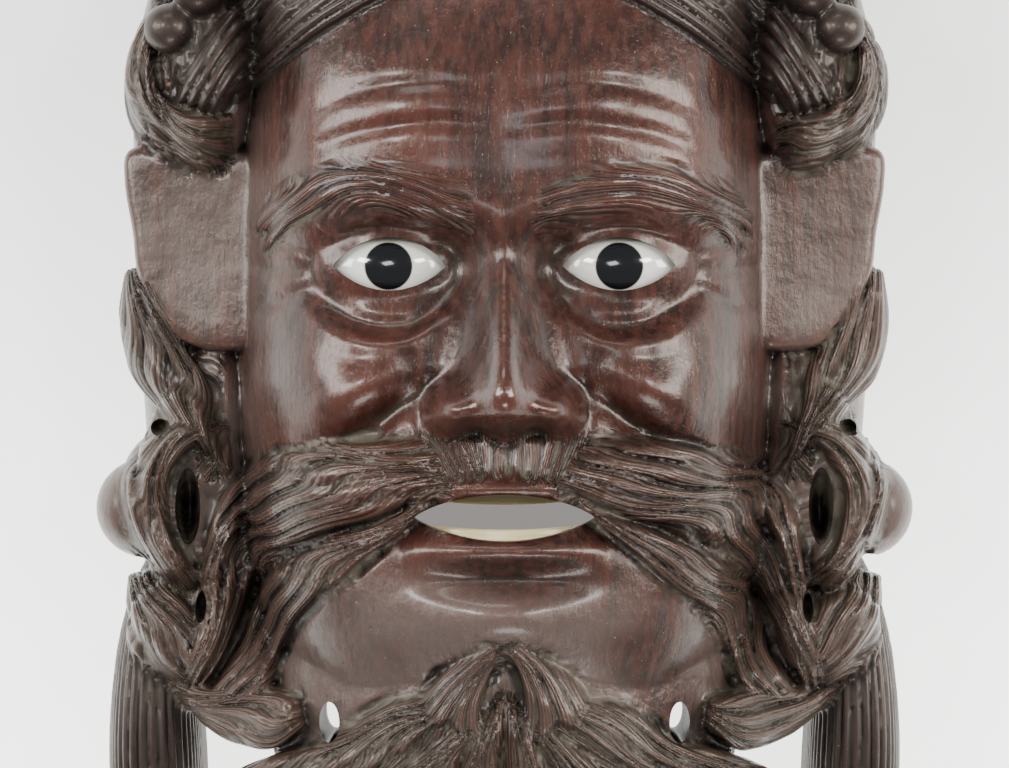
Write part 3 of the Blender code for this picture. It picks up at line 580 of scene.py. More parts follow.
def half_round(rows, powers, shrink=0.0, relief=None):
    """The shape of a half-round form, taken in on every side by shrink, with a skirt under the floor."""
    low, high = rows[0][0], rows[-1][0]

    def shape(y, across, up):
        kept = (y - (low + high) / 2) * (1 - 2 * shrink / (high - low)) + (low + high) / 2
        width, depth = row_values(rows, y)
        even = 1 if relief is not None else 2 / powers[0]
        x = np.maximum(width - shrink, 0) * np.sign(across) * np.abs(across) ** even
        front = np.maximum(depth - shrink, 0) * np.abs(up) ** (2 / powers[1])
        if relief is not None:
            front = np.where(up > 0.02, relief(x, kept), front)
        back = -FLOOR_CUT / 2 / SHARE * np.abs(up) ** 0.5
        drop = FLOOR_CUT / 8 / SHARE * (1 - np.abs(up)) ** 2
        return np.column_stack([x, kept, np.where(up >= 0, front, back) - drop])

    return shape


def beard_shape(y, across, up):
    width, front, back = row_values(BEARD_ROWS, y)
    middle, half = (front + back) / 2, (front - back) / 2
    x = width * np.sign(across) * np.abs(across) ** 0.8
    sag = BEARD_CURVE[0] * (x / BEARD_CURVE[1]) ** 2
    return np.column_stack([x, y, middle - sag + half * np.sign(up) * np.abs(up) ** 0.8])


def ellipsoid(name, centre, half_sizes, segments=48, rings=32):
    mesh = ball_mesh(name, segments, rings)
    reshape(mesh, lambda points: points * np.array(half_sizes) + np.array(centre))
    return mesh


def both_sides(mesh):
    """The mesh and its mirror image across the middle of the face."""
    mirrored = mesh.copy()
    mirrored.vertices.foreach_set("co", (read_vectors(mirrored.vertices, "co") * (-1, 1, 1)).ravel())
    mirrored.flip_normals()
    return [mesh, mirrored]


def joined(name, meshes):
    bm = bmesh.new()
    for mesh in meshes:
        bm.from_mesh(mesh)
    made = bpy.data.meshes.new(name)
    bm.to_mesh(made)
    bm.free()
    return made


def tail_section(row, steps):
    """Points round one level of the +X tail's front, from its inner edge to its outer one."""
    y, inner, outer, depth = row
    points = []
    for k in range(steps + 1):
        angle = math.pi * (1 - k / steps)
        out = math.copysign(abs(math.cos(angle)) ** 0.7, math.cos(angle))
        x = (inner + outer) / 2 + (outer - inner) / 2 * out
        points.append((x, y, depth * math.sin(angle) ** 0.6))
    return points


def tail_mesh():
    """The hanging tail of the wrap on the +X side, down to below the floor."""
    foot = -FLOOR_CUT / 2 / SHARE
    rows = resampled(smooth_path(TAIL_ROWS), 60)
    return lofted("tail", [
        [*tail_section(row, 60), (row[2], row[0], foot), (row[1], row[0], foot)] for row in rows])


def ear_mesh():
    """A flat, faintly scooped ear: its outline, bevelled at the front, raised from the floor."""
    outline = resampled(smooth_path(EAR_OUTLINE), 120)[:-1]
    middle = outline.mean(0)
    rings = []
    for inset, z in EAR_LEVELS:
        ring = middle + (outline - middle) * (1 - inset)
        rings.append(np.column_stack([ring, z - EAR_SLANT * (ring[:, 0] - EAR_OUTLINE[0][0])]))
    return lofted("ear", rings)


def carving_block():
    """Everything that is cut from the one block of wood, laid together but not yet one skin."""
    head = round_form("head", HEAD_ROWS, half_round(HEAD_ROWS, HEAD_POWERS, relief=face_height), 460, 540)
    hair = round_form("hair", HAIR_ROWS, half_round(HAIR_ROWS, HAIR_POWERS))
    beard = round_form("beard", BEARD_ROWS, beard_shape)
    pieces = [head, hair, beard, *both_sides(tail_mesh())]
    for name, (centre, half_sizes) in MASSES.items():
        pieces += both_sides(ellipsoid(name, centre, half_sizes))
    pieces += both_sides(ear_mesh())
    for name, bundle in BUNDLES.items():
        pieces += both_sides(sheet_mesh(name, bundle))
    for x, y in BALL_PLACES:
        ground = float(ground_height(np.array([x], float), np.array([y], float))[0])
        centre = (x, y, ground + BALL_RADIUS * (1 - BALL_SINK))
        pieces += both_sides(ellipsoid("ball", centre, (BALL_RADIUS,) * 3))
    return joined("carving", pieces)


def nearest_in(tree, points):
    """For each point, which of the tree's is nearest and how far off it is."""
    found = [tree.find(point) for point in points]
    return np.array([hit[1] for hit in found]), np.array([hit[2] for hit in found])


class StrandField:
    """Where a point lies on the bundles, and how the strands of the nearest one are cut."""

    def __init__(self):
        self.parts = []
        for name, bundle in BUNDLES.items():
            self.add(name, *bundle_grid(bundle, 25, 90))
        sections = np.array([tail_section(row, 30) for row in resampled(smooth_path(TAIL_ROWS), 60)])
        steps = np.linalg.norm(np.diff(sections, axis=1), axis=2).mean(0)
        self.add("tail", sections.transpose(1, 0, 2), np.concatenate([[0], np.cumsum(steps)]))
        self.places, self.frames, kinds = (np.vstack(part) for part in zip(*self.parts))
        self.pitch, self.cut, self.dryness = kinds.T[:3]
        self.cloth = kinds[:, 3] > 0
        self.tree = tree_of(self.places)

    def add(self, name, grid, distances):
        """Adds a grid of samples and, at each, the rates at which its two distances grow, and both."""
        step_across = np.gradient(grid, axis=0)
        step_along = np.gradient(grid, axis=1)
        length = np.linalg.norm(step_along, axis=2, keepdims=True)
        rate_along = step_along / np.maximum(length, 1e-6)
        square = step_across - (step_across * rate_along).sum(2, keepdims=True) * rate_along
        per_step = np.gradient(distances)[:, None, None]
        rate_across = square * per_step / np.maximum((square**2).sum(2, keepdims=True), 0.01)
        along = np.cumsum(length, axis=1)
        across = np.broadcast_to(distances[:, None, None], along.shape)
        frames = np.concatenate([rate_across, rate_along, across, along], axis=2)
        kind = (STRANDS[name]["pitch"], STRANDS[name]["cut"], DRYNESS.get(name, 1.0), name in CLOTH)
        self.parts.append((grid.reshape(-1, 3), frames.reshape(-1, 8), np.tile(kind, (across.size, 1))))

    def nearest(self, points):
        """For points in shares: the nearest sample of each, and how far off it is."""
        return nearest_in(self.tree, np.column_stack([np.abs(points[:, 0]), points[:, 1:]]))

    def coordinates(self, points, index):
        """Distance across and along the bundle of each point, as its sample's own frame sees it."""
        offset = np.column_stack([np.abs(points[:, 0]), points[:, 1:]]) - self.places[index]
        across = self.frames[index, 6] + (offset * self.frames[index, 0:3]).sum(1)
        along = self.frames[index, 7] + (offset * self.frames[index, 3:6]).sum(1)
        return across, along


def strand_phase(across, along, side, pitch, cloth):
    """How many strands or ribs across its bundle each point lies; hair wanders, cloth runs straight."""
    straight = across / pitch
    left = (side < 0) * LEFT_SHIFT
    phase = straight
    for size, by_along, by_across, by_side in WANDERS:
        phase = phase + size * np.sin(along * by_along + across * by_across + left * by_side)
    return np.where(cloth, straight, phase + left)


def on_balls(points):
    """Which points lie on the row of balls."""
    side, y = np.abs(points[:, 0]), points[:, 1]
    reach = BALL_RADIUS + 0.5
    return np.any([np.hypot(side - place[0], y - place[1]) < reach for place in BALL_PLACES], axis=0)


def hair_reach(points):
    """How far from a bundle its strands go on: short on the face, and on over the sides of the head."""
    side, y = np.abs(points[:, 0]), points[:, 1]
    beside = (side > HAIR_SIDE) & ((y < EAR_SPAN[0]) | (y > EAR_SPAN[1]))
    on_bun = (side > BUN_SIDE) & (y > BUN_SPAN[0]) & (y < BUN_SPAN[1])
    reach = np.where(on_bun, BUN_REACH, np.where(beside, SIDE_REACH, FACE_REACH))
    return np.where(on_balls(points), BALL_REACH, reach)


def carve_strands(points, normals, field):
    """Cuts the strands and ribs into the skin: points and normals in, moved points out, in shares."""
    index, gap = field.nearest(points)
    across, along = field.coordinates(points, index)
    cloth = field.cloth[index]
    phase = strand_phase(across, along, points[:, 0], field.pitch[index], cloth)
    strands = STRAND_CUT * (ridges(phase) - UNCUT_LEVEL)
    strands = strands + FINE_CUT * (ridges(FINE_LINES * phase) - UNCUT_LEVEL)
    cut = np.where(cloth, ridges(phase) - 1, strands)
    near = (1 - rise(-0.4, 0.7, gap - hair_reach(points))) * (points[:, 2] > CUT_FROM)
    return points + normals * (field.cut[index] * cut * near)[:, None]


def relaxed(points, pairs, rounds, strength=0.6):
    """The points drawn towards the middle of their neighbours, a number of times."""
    count = np.bincount(pairs.ravel(), minlength=len(points))[:, None]
    for _ in range(rounds):
        total = np.column_stack([
            np.bincount(pairs[:, 0], points[pairs[:, 1], k], len(points))
            + np.bincount(pairs[:, 1], points[pairs[:, 0], k], len(points)) for k in range(3)])
        points = points + strength * (total / np.maximum(count, 1) - points)
    return points


def applied(obj):
    """The object's mesh with its modifiers applied, which are then taken off."""
    graph = bpy.context.evaluated_depsgraph_get()
    mesh = bpy.data.meshes.new_from_object(obj.evaluated_get(graph))
    obj.modifiers.clear()
    obj.data = mesh
    return mesh


def prism(name, outline, low, high):
    """An outline in X and Y, in shares, raised from low to high."""
    return lofted(name, [[(x, y, level) for x, y in outline] for level in (low, high)])


def almond(centre, half_width, above, below, steps=32):
    """An eye or mouth outline: two arcs that meet in points."""
    s = np.sin(np.linspace(-np.pi / 2, np.pi / 2, steps))
    upper = np.column_stack([centre[0] + half_width * s, centre[1] + above * (1 - s**2) ** 0.8])
    lower = np.column_stack([centre[0] + half_width * s, centre[1] - below * (1 - s**2) ** 0.9])
    return [*upper, *lower[-2:0:-1]]


def eye_mesh(grow=0.0, segments=64, rings=40):
    half_sizes = [(size / 2 + grow) / SHARE for size in (EYE_WIDTH, EYE_HEIGHT, EYE_DEPTH)]
    return ellipsoid("eye", (EYE_SIDE, EYE_LEVEL, EYE_SINK), half_sizes, segments, rings)


def eye_seat():
    """The eyeball with room round it, drawn out backwards to the hollow."""
    seat = eye_mesh(SEAT_GAP, 48, 28)
    for vertex in seat.vertices:
        if vertex.co.z < EYE_SINK * SHARE:
            vertex.co.z = EYE_SINK * SHARE + (vertex.co.z - EYE_SINK * SHARE) * SEAT_STRETCH
    return seat


def lid_opening():
    above, below = (part * LID_OPENING_HEIGHT / SHARE for part in LID_PARTS)
    outline = almond((EYE_SIDE, EYE_LEVEL), LID_OPENING_WIDTH / SHARE / 2, above, below)
    return prism("lids", outline, EYE_SINK + 1, EYE_SINK + 30)


def teeth_mesh(level, grow=0.0, cuts=19):
    """A bone strip that bows back behind the lips; the level is the middle of its height."""
    half_length = (MOUTH_WIDTH / 2 + TEETH_END_HOLD + grow) / SHARE
    thick = (TEETH_THICKNESS + 2 * grow) / SHARE
    tall = (TEETH_HEIGHT + 2 * grow) / SHARE
    bm = bmesh.new()
    bmesh.ops.create_cube(bm, size=2)
    along = [e for e in bm.edges if abs(e.verts[0].co.x - e.verts[1].co.x) > 1]
    bmesh.ops.subdivide_edges(bm, edges=along, cuts=cuts, use_grid_fill=True)
    mesh = mesh_of("teeth", bm)

    def bend(points):
        s, up, out = points.T
        bow = (s * half_length / HALF_MOUTH) ** 2
        return np.column_stack([s * half_length, level + up * tall / 2 + TEETH_SAG * bow,
                                TEETH_SINK + out * thick / 2 - TEETH_BOW * bow])

    reshape(mesh, bend)
    return mesh


def teeth_levels():
    half = (TEETH_HEIGHT + TEETH_GAP) / 2 / SHARE
    return {"upper_teeth": MOUTH_LEVEL + half, "lower_teeth": MOUTH_LEVEL - half}


def beard_hole():
    x, y = BEARD_HOLE_PLACE
    angles = np.linspace(0, 2 * np.pi, 24, endpoint=False)
    outline = np.column_stack([x + BEARD_HOLE_WIDTH / SHARE / 2 * np.cos(angles),
                               y + BEARD_HOLE_HEIGHT / SHARE / 2 * np.sin(angles)])
    return prism("beard_hole", outline, -10, 120)


def pit_meshes():
    middle, half = PIT_DEPTHS
    made = []
    for place, half_sizes in PITS:
        made += both_sides(ellipsoid("pit", (*place, middle), (*half_sizes, half), 24, 16))
    return made


def floor_block():
    bm = bmesh.new()
    bmesh.ops.create_cube(bm, size=1)
    for vertex in bm.verts:
        vertex.co.x *= MASK_HEIGHT * 1.5
        vertex.co.y *= MASK_HEIGHT * 1.5
        vertex.co.z = (vertex.co.z - 0.5) * 2 * FLOOR_CUT
    return mesh_of("floor", bm)


def hollow_height(x, y):
    """Height of the hollow back over the floor."""
    head = form_height(x, y, HEAD_ROWS, HEAD_POWERS, WALL / SHARE)
    return np.maximum(head, form_height(x, y, HAIR_ROWS, HAIR_POWERS, WALL / SHARE))


def cutter_sets():
    """The cutting shapes, in sets whose shapes don't touch each other."""
    wall = WALL / SHARE
    lips_line = almond((0, MOUTH_LEVEL), HALF_MOUTH, HALF_GAPE, HALF_GAPE, 48)
    slot = prism("mouth_slot", lips_line, TEETH_SINK - 45, TEETH_SINK + 40)
    head = round_form("face_hollow", HEAD_ROWS, half_round(HEAD_ROWS, HEAD_POWERS, wall), 72, 80)
    hair = round_form("hair_hollow", HAIR_ROWS, half_round(HAIR_ROWS, HAIR_POWERS, wall), 72, 80)
    openings = [*both_sides(lid_opening()), *both_sides(beard_hole()), *pit_meshes()]
    teeth_seats = [teeth_mesh(level, SEAT_GAP, 31) for level in teeth_levels().values()]
    return {
        "face_hollow": [head],
        "hair_hollow": [hair, slot, *openings],
        "seats": [*both_sides(eye_seat()), *teeth_seats],
        "floor": [floor_block()],
    }


def cut_out(obj, cutters):
    """Takes each set of cutters out of the object."""
    cutting = [in_scene("cut_" + name, joined(name, meshes)) for name, meshes in cutters.items()]
    for cutter in cutting:
        modifier = obj.modifiers.new(cutter.name, "BOOLEAN")
        modifier.operation = "DIFFERENCE"
        modifier.solver = "MANIFOLD"
        modifier.object = cutter
    applied(obj)
    for cutter in cutting:
        bpy.data.objects.remove(cutter)


def float_attribute(mesh, name, domain, values):
    made = mesh.attributes.new(name, "FLOAT", domain)
    made.data.foreach_set("value", np.ascontiguousarray(values, np.float32))


def mark_strands(mesh, field):
    """Writes each corner's strand phase and distance along its bundle, and what is cut at each vertex."""
    points = read_vectors(mesh.vertices, "co") / SHARE
    centres = read_vectors(mesh.polygons, "center") / SHARE
    index, gap = field.nearest(centres)
    totals = read_whole(mesh.polygons, "loop_total").ravel()
    corners = read_whole(mesh.loops, "vertex_index").ravel()
    face = np.repeat(np.arange(len(totals)), totals)
    across, along = field.coordinates(points[corners], index[face])
    on_cloth = field.cloth[index]
    phase = strand_phase(across, along, centres[face, 0], field.pitch[index[face]], on_cloth[face])
    float_attribute(mesh, "across", "CORNER", phase)
    float_attribute(mesh, "along", "CORNER", along)
    outside = centres[:, 2] > LAID_FROM
    cloth = (on_cloth & (gap < CLOTH_REACH) & outside) | on_balls(centres)
    hair = ~on_cloth & (gap < hair_reach(centres)) & outside & ~cloth
    shared_by = np.maximum(np.bincount(corners, minlength=len(points)), 1)
    for name, values in (("cloth", cloth), ("hair", hair), ("dry", hair * field.dryness[index])):
        sums = np.bincount(corners, values.astype(float)[face], len(points))
        float_attribute(mesh, name, "POINT", sums / shared_by)


def halves(mesh):
    """The mesh cut in two down the middle of the face, with the shading of the whole."""
    facing = mesh.attributes.new("facing", "FLOAT_VECTOR", "CORNER")
    facing.data.foreach_set("vector", read_vectors(mesh.corner_normals, "vector").ravel())
    made = []
    for side in (1, -1):
        bm = bmesh.new()
        bm.from_mesh(mesh)
        gone = [face for face in bm.faces if face.calc_center_median().x * side < 0]
        bmesh.ops.delete(bm, geom=gone, context="FACES")
        half = bpy.data.meshes.new(mesh.name + ("_right" if side > 0 else "_left"))
        bm.to_mesh(half)
        bm.free()
        normals = read_vectors(half.attributes["facing"].data, "vector")
        half.attributes.remove(half.attributes["facing"])
        half.normals_split_custom_set(normals)
        made.append(half)
    return made


def carved_skin():
    """The carved block at full detail, already cut out, as two halves."""
    carving = in_scene("carved_wood", carving_block())
    remesh = carving.modifiers.new("skin", "REMESH")
    remesh.mode = "VOXEL"
    remesh.voxel_size = SKIN_VOXEL
    mesh = applied(carving)

    field = StrandField()
    pairs = read_whole(mesh.edges, "vertices", 2)
    points = relaxed(read_vectors(mesh.vertices, "co"), pairs, SKIN_SMOOTHING)
    normals = move_vertices(mesh, points)
    points = carve_strands(points / SHARE, normals, field) * SHARE
    points = relaxed(points, pairs, 1, STRAND_SMOOTHING)
    normals = move_vertices(mesh, points)
    hollowness = ((relaxed(points, pairs, HOLLOW_ROUNDS) - points) * normals).sum(1) / SHARE

    cut_out(carving, cutter_sets())
    thin = carving.modifiers.new("thin", "DECIMATE")
    faces = sum(len(polygon.vertices) - 2 for polygon in carving.data.polygons)
    thin.ratio = min(1.0, SKIN_TRIANGLES / faces)
    mesh = applied(carving)

    index, gap = nearest_in(tree_of(points), read_vectors(mesh.vertices, "co"))
    near = gap < 2 * SKIN_VOXEL
    float_attribute(mesh, "hollow", "POINT", np.where(near, hollowness[index], 0.5))
    points = read_vectors(mesh.vertices, "co") / SHARE
    inside = points[:, 2] < hollow_height(points[:, 0], points[:, 1]) + 1.5
    float_attribute(mesh, "inside", "POINT", inside & ~near)
    mark_strands(mesh, field)
    mesh.shade_smooth()
    mesh.set_sharp_from_angle(angle=math.radians(SHARP_ANGLE))
    bpy.data.objects.remove(carving)
    return halves(mesh)


class Value:
    """A socket whose arithmetic adds Math nodes to its material."""

    def __init__(self, finish, socket):
        self.finish = finish
        self.socket = socket

    def __add__(self, other):
        return self.finish.math("ADD", self, other)

    def __sub__(self, other):
        return self.finish.math("SUBTRACT", self, other)

    def __rsub__(self, other):
        return self.finish.math("SUBTRACT", other, self)

    def __mul__(self, other):
        return self.finish.math("MULTIPLY", self, other)

    def __pow__(self, other):
        return self.finish.math("POWER", self, other)

    __radd__ = __add__
    __rmul__ = __mul__


class Finish:
    """A material built from Blender's own shader nodes."""

    def __init__(self, name, **constants):
        self.material = bpy.data.materials.new(name)
        self.material.use_nodes = True
        self.tree = self.material.node_tree
        self.shader = self.tree.nodes["Principled BSDF"]
        for socket, value in constants.items():
            self.shader.inputs[socket.replace("_", " ")].default_value = value

    def node(self, kind, settings, sockets, output=0):
        """One node: its settings first, then its sockets' values or links. Gives one of its outputs."""
        made = self.tree.nodes.new(kind)
        for key, value in settings.items():
            setattr(made, key, value)
        for key, value in sockets.items():
            self.feed(made.inputs[key], value)
        return Value(self, made.outputs[output])

    def feed(self, socket, value):
        if isinstance(value, Value):
            self.tree.links.new(value.socket, socket)
        else:
            socket.default_value = value

    def math(self, operation, *values):
        return self.node("ShaderNodeMath", {"operation": operation}, dict(enumerate(values)))

    def mix(self, share, first, second):
        """Two colours mixed; each may be a tuple or a link."""
        colours = [(*c, 1) if isinstance(c, tuple) else c for c in (first, second)]
        sockets = {0: share, 6: colours[0], 7: colours[1]}
        return self.node("ShaderNodeMix", {"data_type": "RGBA"}, sockets, 2)

    def step(self, value, low, high):
        """0 below low and 1 above high, smooth between."""
        sockets = {"Value": value, "From Min": low, "From Max": high}
        return self.node("ShaderNodeMapRange", {"interpolation_type": "SMOOTHSTEP"}, sockets)

    def size(self, value):
        return self.math("ABSOLUTE", value)

    def waves(self, value):
        """Crests of height 1, one to each whole number of the value."""
        return self.size(self.math("SINE", value * math.pi))

    def distance(self, x, y):
        return self.math("SQRT", x * x + y * y)

    def axes(self):
        """The object's own X and Y."""
        spot = self.node("ShaderNodeTexCoord", {}, {}, "Object")
        return [self.node("ShaderNodeSeparateXYZ", {}, {0: spot}, axis) for axis in (0, 1)]

    def attribute(self, name):
        return self.node("ShaderNodeAttribute", {"attribute_name": name}, {}, "Fac")

    def place(self, scale=(1, 1, 1)):
        """The object's own coordinates, stretched."""
        spot = self.node("ShaderNodeTexCoord", {}, {}, "Object")
        return self.node("ShaderNodeVectorMath", {"operation": "MULTIPLY"}, {0: spot, 1: scale})

    def vector(self, x, y):
        return self.node("ShaderNodeCombineXYZ", {}, {0: x, 1: y})

    def noise(self, place, scale, detail=3.0, roughness=0.55):
        sockets = {"Vector": place, "Scale": scale, "Detail": detail, "Roughness": roughness}
        return self.node("ShaderNodeTexNoise", {}, sockets)

    def use(self, **links):
        for socket, value in links.items():
            self.feed(self.shader.inputs[socket.replace("_", " ")], value)

    def relief(self, height, distance):
        """Sends the height to the surface as a bump."""
        sockets = {"Height": height, "Distance": distance, "Strength": 1.0}
        self.use(Normal=self.node("ShaderNodeBump", {}, sockets))


# Where the varnish of the face turns dull and greys, partly as a painted sheen, out from its middle
# and down from it, and the spot that is rubbed bright on the tip of the nose, in metres
FILM_SIDES = (0.048, 0.072)
FILM_FOOT = (0.036, 0.060)
NOSE_TIP = 0.001
POLISH_REACH = (0.007, 0.016)


def carved_wood():
    """Dark rosewood, varnished on the face, drier on the hair, with pale dust and painted shade in the
    cuts.
    """
    wood = Finish("varnished_rosewood", Coat_Roughness=0.17, Specular_IOR_Level=0.42,
                  Specular_Tint=(1.0, 0.84, 0.74, 1))
    names = ("hair", "dry", "cloth", "hollow", "inside", "across", "along")
    hair, parched, cloth, hollow, inside, across, along = (wood.attribute(name) for name in names)
    carved = wood.math("MAXIMUM", hair, cloth)
    side, up = wood.axes()
    over = wood.size(side)

    grain = wood.noise(wood.place((420, 26, 420)), 1.0, 4.0)
    clouds = wood.noise(wood.place(), 22.0, 3.0)
    pores = wood.noise(wood.place((2300, 210, 2300)), 1.0, 2.0, 0.4)
    pore = wood.step(pores, 0.64, 0.72)
    facets = wood.noise(wood.place(), 120.0, 2.0)
    scuffs = wood.noise(wood.place((700, 300, 700)), 1.0, 3.0, 0.6)
    streaks = wood.noise(wood.vector(across * 3.6, along * 0.045), 1.9, 3.0, 0.6)
    wander = wood.noise(wood.vector(across * 0.4, along * 0.03), 1.0, 2.0) * 0.5
    strand = wood.waves(across) ** 0.55
    hair_line = wood.waves(across * 5 + wander)
    # Fine cut lines along the strands, painted dark as shade
    fine_line_shade = (1 - wood.step(hair_line, 0.05, 0.55)) * wood.step(streaks, 0.36, 0.56) * hair
    cut = (1 - strand) * hair

    groove = wood.step(hollow, 0.05, 0.34)
    crest = wood.step(0 - hollow, 0.02, 0.25)

    base = wood.mix(wood.step(grain, 0.35, 0.68), (0.016, 0.0066, 0.0054), (0.054, 0.0180, 0.0126))
    base = wood.mix(wood.step(clouds, 0.44, 0.66) * 0.55, base, (0.080, 0.0225, 0.0145))
    # The face's sides and foot are painted grey: a duller, dustier varnish, and partly a painted sheen
    edge = wood.math("MAXIMUM", wood.step(over, *FILM_SIDES), wood.step(0 - up, *FILM_FOOT))
    film_and_sheen = edge * (0.30 + 0.9 * wood.step(clouds, 0.36, 0.62)) * 0.6 + 0.10 * wood.step(scuffs, 0.5, 0.7)
    base = wood.mix(film_and_sheen, base, (0.094, 0.076, 0.066))
    dry = wood.mix(wood.step(streaks, 0.35, 0.68), (0.017, 0.0122, 0.0094), (0.060, 0.044, 0.033))
    dry = wood.mix(wood.step(clouds, 0.48, 0.68) * 0.5, dry, (0.056, 0.021, 0.014))
    plain_cloth = wood.mix(wood.step(streaks, 0.3, 0.7), (0.006, 0.0050, 0.0047), (0.017, 0.0118, 0.0104))
    colour = wood.mix(parched * 0.9, base, dry)
    colour = wood.mix(cloth * 0.92, colour, plain_cloth)
    # Crests are painted lighter: partly rubbed wear, partly a painted highlight
    worn_crest_and_highlight = wood.mix(parched, (0.110, 0.042, 0.028), (0.098, 0.062, 0.046))
    colour = wood.mix(crest * (0.25 + 0.25 * hair) * (1 - 0.7 * cloth), colour, worn_crest_and_highlight)
    # Painted shade: the grooves, the troughs between strands and their fine cut lines are painted near
    # black
    painted_shade = groove * (0.80 - 0.1 * carved) + cut * 0.44 + fine_line_shade * 0.50
    colour = wood.mix(painted_shade, colour, (0.006, 0.004, 0.0035))
    patches = wood.step(wood.noise(wood.place(), 42.0, 4.0, 0.68), 0.44, 0.64)
    dust = patches * wood.step(hollow, 0.03, 0.28) * (0.16 + 0.36 * hair) * (1 - 0.3 * groove)
    colour = wood.mix(dust, colour, (0.200, 0.176, 0.128))
    colour = wood.mix(pore * 0.25 * (1 - hair), colour, (0.006, 0.004, 0.003))
    specks = wood.step(wood.noise(wood.place(), 1500.0, 1.0), 0.755, 0.79)
    colour = wood.mix(specks * 0.45, colour, (0.36, 0.32, 0.26))
    raw = wood.mix(grain, (0.07, 0.032, 0.02), (0.14, 0.07, 0.045))
    colour = wood.mix(inside, colour, raw)

    polish = 1 - wood.step(wood.distance(over, up - NOSE_TIP), *POLISH_REACH)
    worn = 0.29 + 0.09 * film_and_sheen + 0.14 * cut + 0.06 * cloth - 0.10 * crest * hair - 0.10 * polish
    roughness = worn + 0.18 * (scuffs - 0.5) + 0.10 * clouds + 0.3 * dust + 0.2 * inside
    varnish = 0.30 + 0.3 * (clouds - 0.5) + 0.35 * polish
    coat = (varnish + 0.3 * crest * hair) * (1 - inside) * (1 - 0.6 * parched) * (1 - 0.5 * cloth)
    wood.use(Base_Color=colour, Roughness=roughness, Coat_Weight=coat)
    strands = (strand * 0.36 + hair_line * 0.26 + streaks * 0.30) * hair
    leather = wood.noise(wood.place(), 950.0, 2.0, 0.6)
    skin = grain * 0.10 - pore * 0.08 + scuffs * 0.16 + facets * 0.55 + leather * 0.09
    wood.relief(strands + skin * (1 - 0.7 * carved), 0.0010)
    return wood.material


def eye_glass():
    """Opaque white glass with a black pupil fused in, with a high gloss."""
    glass = Finish("white_eye_glass", Coat_Weight=1.0, Coat_Roughness=0.02, Roughness=0.12)
    side, up = glass.axes()
    shift_x, shift_y = eye_shift()
    off_x = glass.size(side) - (EYE_SPACING / 2 + shift_x)
    off_y = up - (EYE_LEVEL * SHARE + shift_y)
    reach = glass.distance(off_x, off_y)
    pupil = 1 - glass.step(reach, PUPIL_DIAMETER / 2 - 0.0003, PUPIL_DIAMETER / 2 + 0.0002)
    rim = glass.step(glass.size(off_y), 0.0035, 0.0075)
    tint = glass.noise(glass.place(), 240.0, 2.0)
    white = glass.mix(tint, (0.70, 0.69, 0.60), (0.80, 0.80, 0.74))
    white = glass.mix(rim * 0.45, white, (0.42, 0.36, 0.22))
    glass.use(Base_Color=glass.mix(pupil, white, (0.004, 0.004, 0.005)))
    return glass.material


def bone():
    """Cream bone, faintly streaked along the strip and stained in blotches."""
    made = Finish("cream_bone", Coat_Weight=0.4, Coat_Roughness=0.1, Roughness=0.3)
    streak = made.noise(made.place((60, 900, 60)), 1.0, 3.0)
    blotch = made.noise(made.place(), 160.0, 2.0)
    colour = made.mix(made.step(streak, 0.4, 0.7), (0.74, 0.63, 0.30), (0.84, 0.76, 0.45))
    colour = made.mix(made.step(blotch, 0.62, 0.80) * 0.5, colour, (0.45, 0.33, 0.14))
    made.use(Base_Color=colour)
    made.relief(streak, 0.0001)
    return made.material


# One over the half width and the half height of the painted shadow on the floor under the mask
FLOOR_SHADE = (27.8, 11.1, 0)


def studio_floor():
    """Pale floor with painted glow: most below the beard, less far off; a painted shadow under the mask."""
    floor = Finish("pale_glowing_floor", Roughness=0.85, Specular_IOR_Level=0.2,
                   Base_Color=(0.66, 0.67, 0.65, 1), Emission_Strength=3.0)

    def away(scale):
        """Distance from the middle of the mask, along the floor, in the units of the scale."""
        return floor.node("ShaderNodeVectorMath", {"operation": "LENGTH"}, {0: floor.place(scale)}, 1)

    up = floor.axes()[1]
    # The floor's glow is painted light: brighter below the beard, fading far from the mask
    glow = floor.mix(floor.step(up, -0.12, 0.12), (0.98, 1.00, 0.965), (0.40, 0.405, 0.395))
    glow = floor.mix(floor.step(away((1, 1, 0)), 0.22, 0.40), glow, (0.24, 0.245, 0.24))
    # A painted shadow: the glow is dimmed under the mask
    under = 1 - floor.step(away(FLOOR_SHADE), 0.8, 1.15)
    floor.use(Emission_Color=floor.mix(under, glow, (0.085, 0.088, 0.090)))
    return floor.material


def eye_shift():
    """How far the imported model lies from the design's own origin, in X and Y, in metres."""
    low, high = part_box("glass_eye_right")
    middle = (low + high) / 2
    return middle.x - EYE_SPACING / 2, middle.y - EYE_LEVEL * SHARE


def piece(name, mesh, finish, node):
    """A finished piece that stands for a CAD node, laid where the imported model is."""
    shift_x, shift_y = eye_shift()
    mesh.transform(Matrix.Translation((shift_x, shift_y, 0)))
    made = in_scene(name, mesh)
    mesh.materials.clear()
    mesh.materials.append(finish)
    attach(made, "root")
    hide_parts(node)
    return made


# The studio's lights: place, size, power, and colour where it isn't white; all face the mask
LIGHTS = {
    "key_left": ((-0.72, 0.42, 1.30), (0.22, 0.32), 9.0),
    "key_right": ((0.72, 0.42, 1.30), (0.22, 0.32), 8.0),
    "side_left": ((-0.95, 0.25, 0.60), (0.35, 0.7), 13.0),
    "side_right": ((0.95, 0.20, 0.60), (0.35, 0.7), 14.0, (1.0, 0.96, 0.92)),
    "crown_light": ((-0.2, 1.2, 0.75), (0.7, 0.25), 4.0),
    "beard_light": ((0.1, -1.1, 0.8), (0.6, 0.3), 7.5),
    "window": ((-0.10, 0.22, 1.50), (0.24, 0.20), 1.6, (0.85, 0.94, 1.0)),
}
LIT_POINT = (0, 0, 0.05)
AIR_COLOUR = (0.93, 0.96, 1.0, 1)
AIR_STRENGTH = 0.24
FLOOR_SIZE = 4
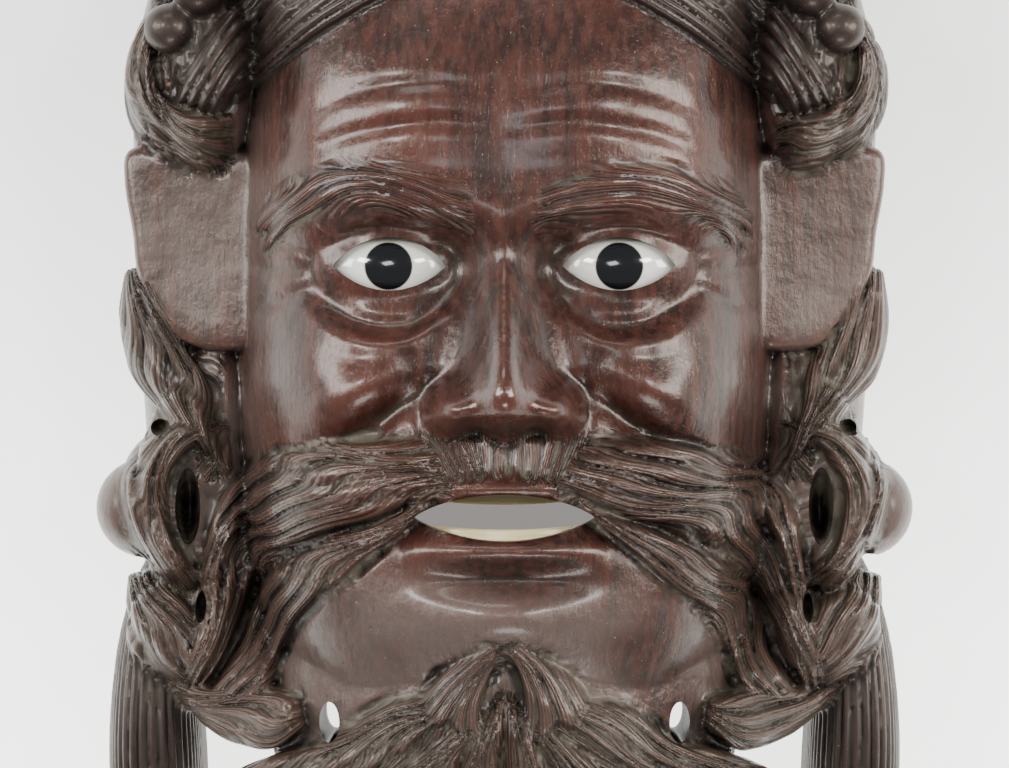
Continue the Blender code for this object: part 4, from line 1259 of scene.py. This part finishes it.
# The camera: how far it stands off, its height over that, the width it sees and its sensor's width
CAMERA_DISTANCE = 1.5
CAMERA_RISE = 0.038
SEEN_WIDTH = 0.25225
SENSOR_WIDTH = 36


def softbox(name, place, size, power, colour=(1, 1, 1)):
    data = bpy.data.lights.new(name, "AREA")
    data.shape = "RECTANGLE"
    data.size, data.size_y = size
    data.energy = power
    data.color = colour
    made = in_scene(name, data)
    made.location = place
    made.rotation_euler = (Vector(LIT_POINT) - Vector(place)).to_track_quat("-Z", "Y").to_euler()


def studio():
    """Pale floor with a painted glow, the air's light and the soft lights."""
    bm = bmesh.new()
    bmesh.ops.create_grid(bm, x_segments=1, y_segments=1, size=FLOOR_SIZE)
    floor = in_scene("studio_floor", mesh_of("studio_floor", bm))
    floor.data.materials.append(studio_floor())

    world = bpy.data.worlds.new("studio_air")
    bpy.context.scene.world = world
    world.use_nodes = True
    air = world.node_tree.nodes["Background"]
    air.inputs["Color"].default_value = AIR_COLOUR
    air.inputs["Strength"].default_value = AIR_STRENGTH
    for name, light in LIGHTS.items():
        softbox(name, *light)


def camera():
    """A camera that looks straight down on the face."""
    shift_x, shift_y = eye_shift()
    data = bpy.data.cameras.new("camera")
    data.sensor_width = SENSOR_WIDTH
    data.lens = SENSOR_WIDTH * CAMERA_DISTANCE / SEEN_WIDTH
    made = in_scene("camera", data)
    made.location = (shift_x, shift_y, CAMERA_DISTANCE + CAMERA_RISE)
    bpy.context.scene.camera = made


def main():
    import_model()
    wood = carved_wood()
    for side, mesh in zip(("right", "left"), carved_skin()):
        piece("carved_wood_" + side, mesh, wood, "carved_mask")
    glass, teeth = eye_glass(), bone()
    for side, mesh in zip(("right", "left"), both_sides(eye_mesh())):
        mesh.shade_smooth()
        piece("eye_" + side, mesh, glass, "glass_eye_" + side)
    for name, level in teeth_levels().items():
        strip = piece("bone_" + name, teeth_mesh(level, cuts=47), teeth, name)
        edge = strip.modifiers.new("soft_edges", "BEVEL")
        edge.width = 0.0007
        edge.segments = 3
        strip.data.shade_smooth()
    studio()
    camera()


main()
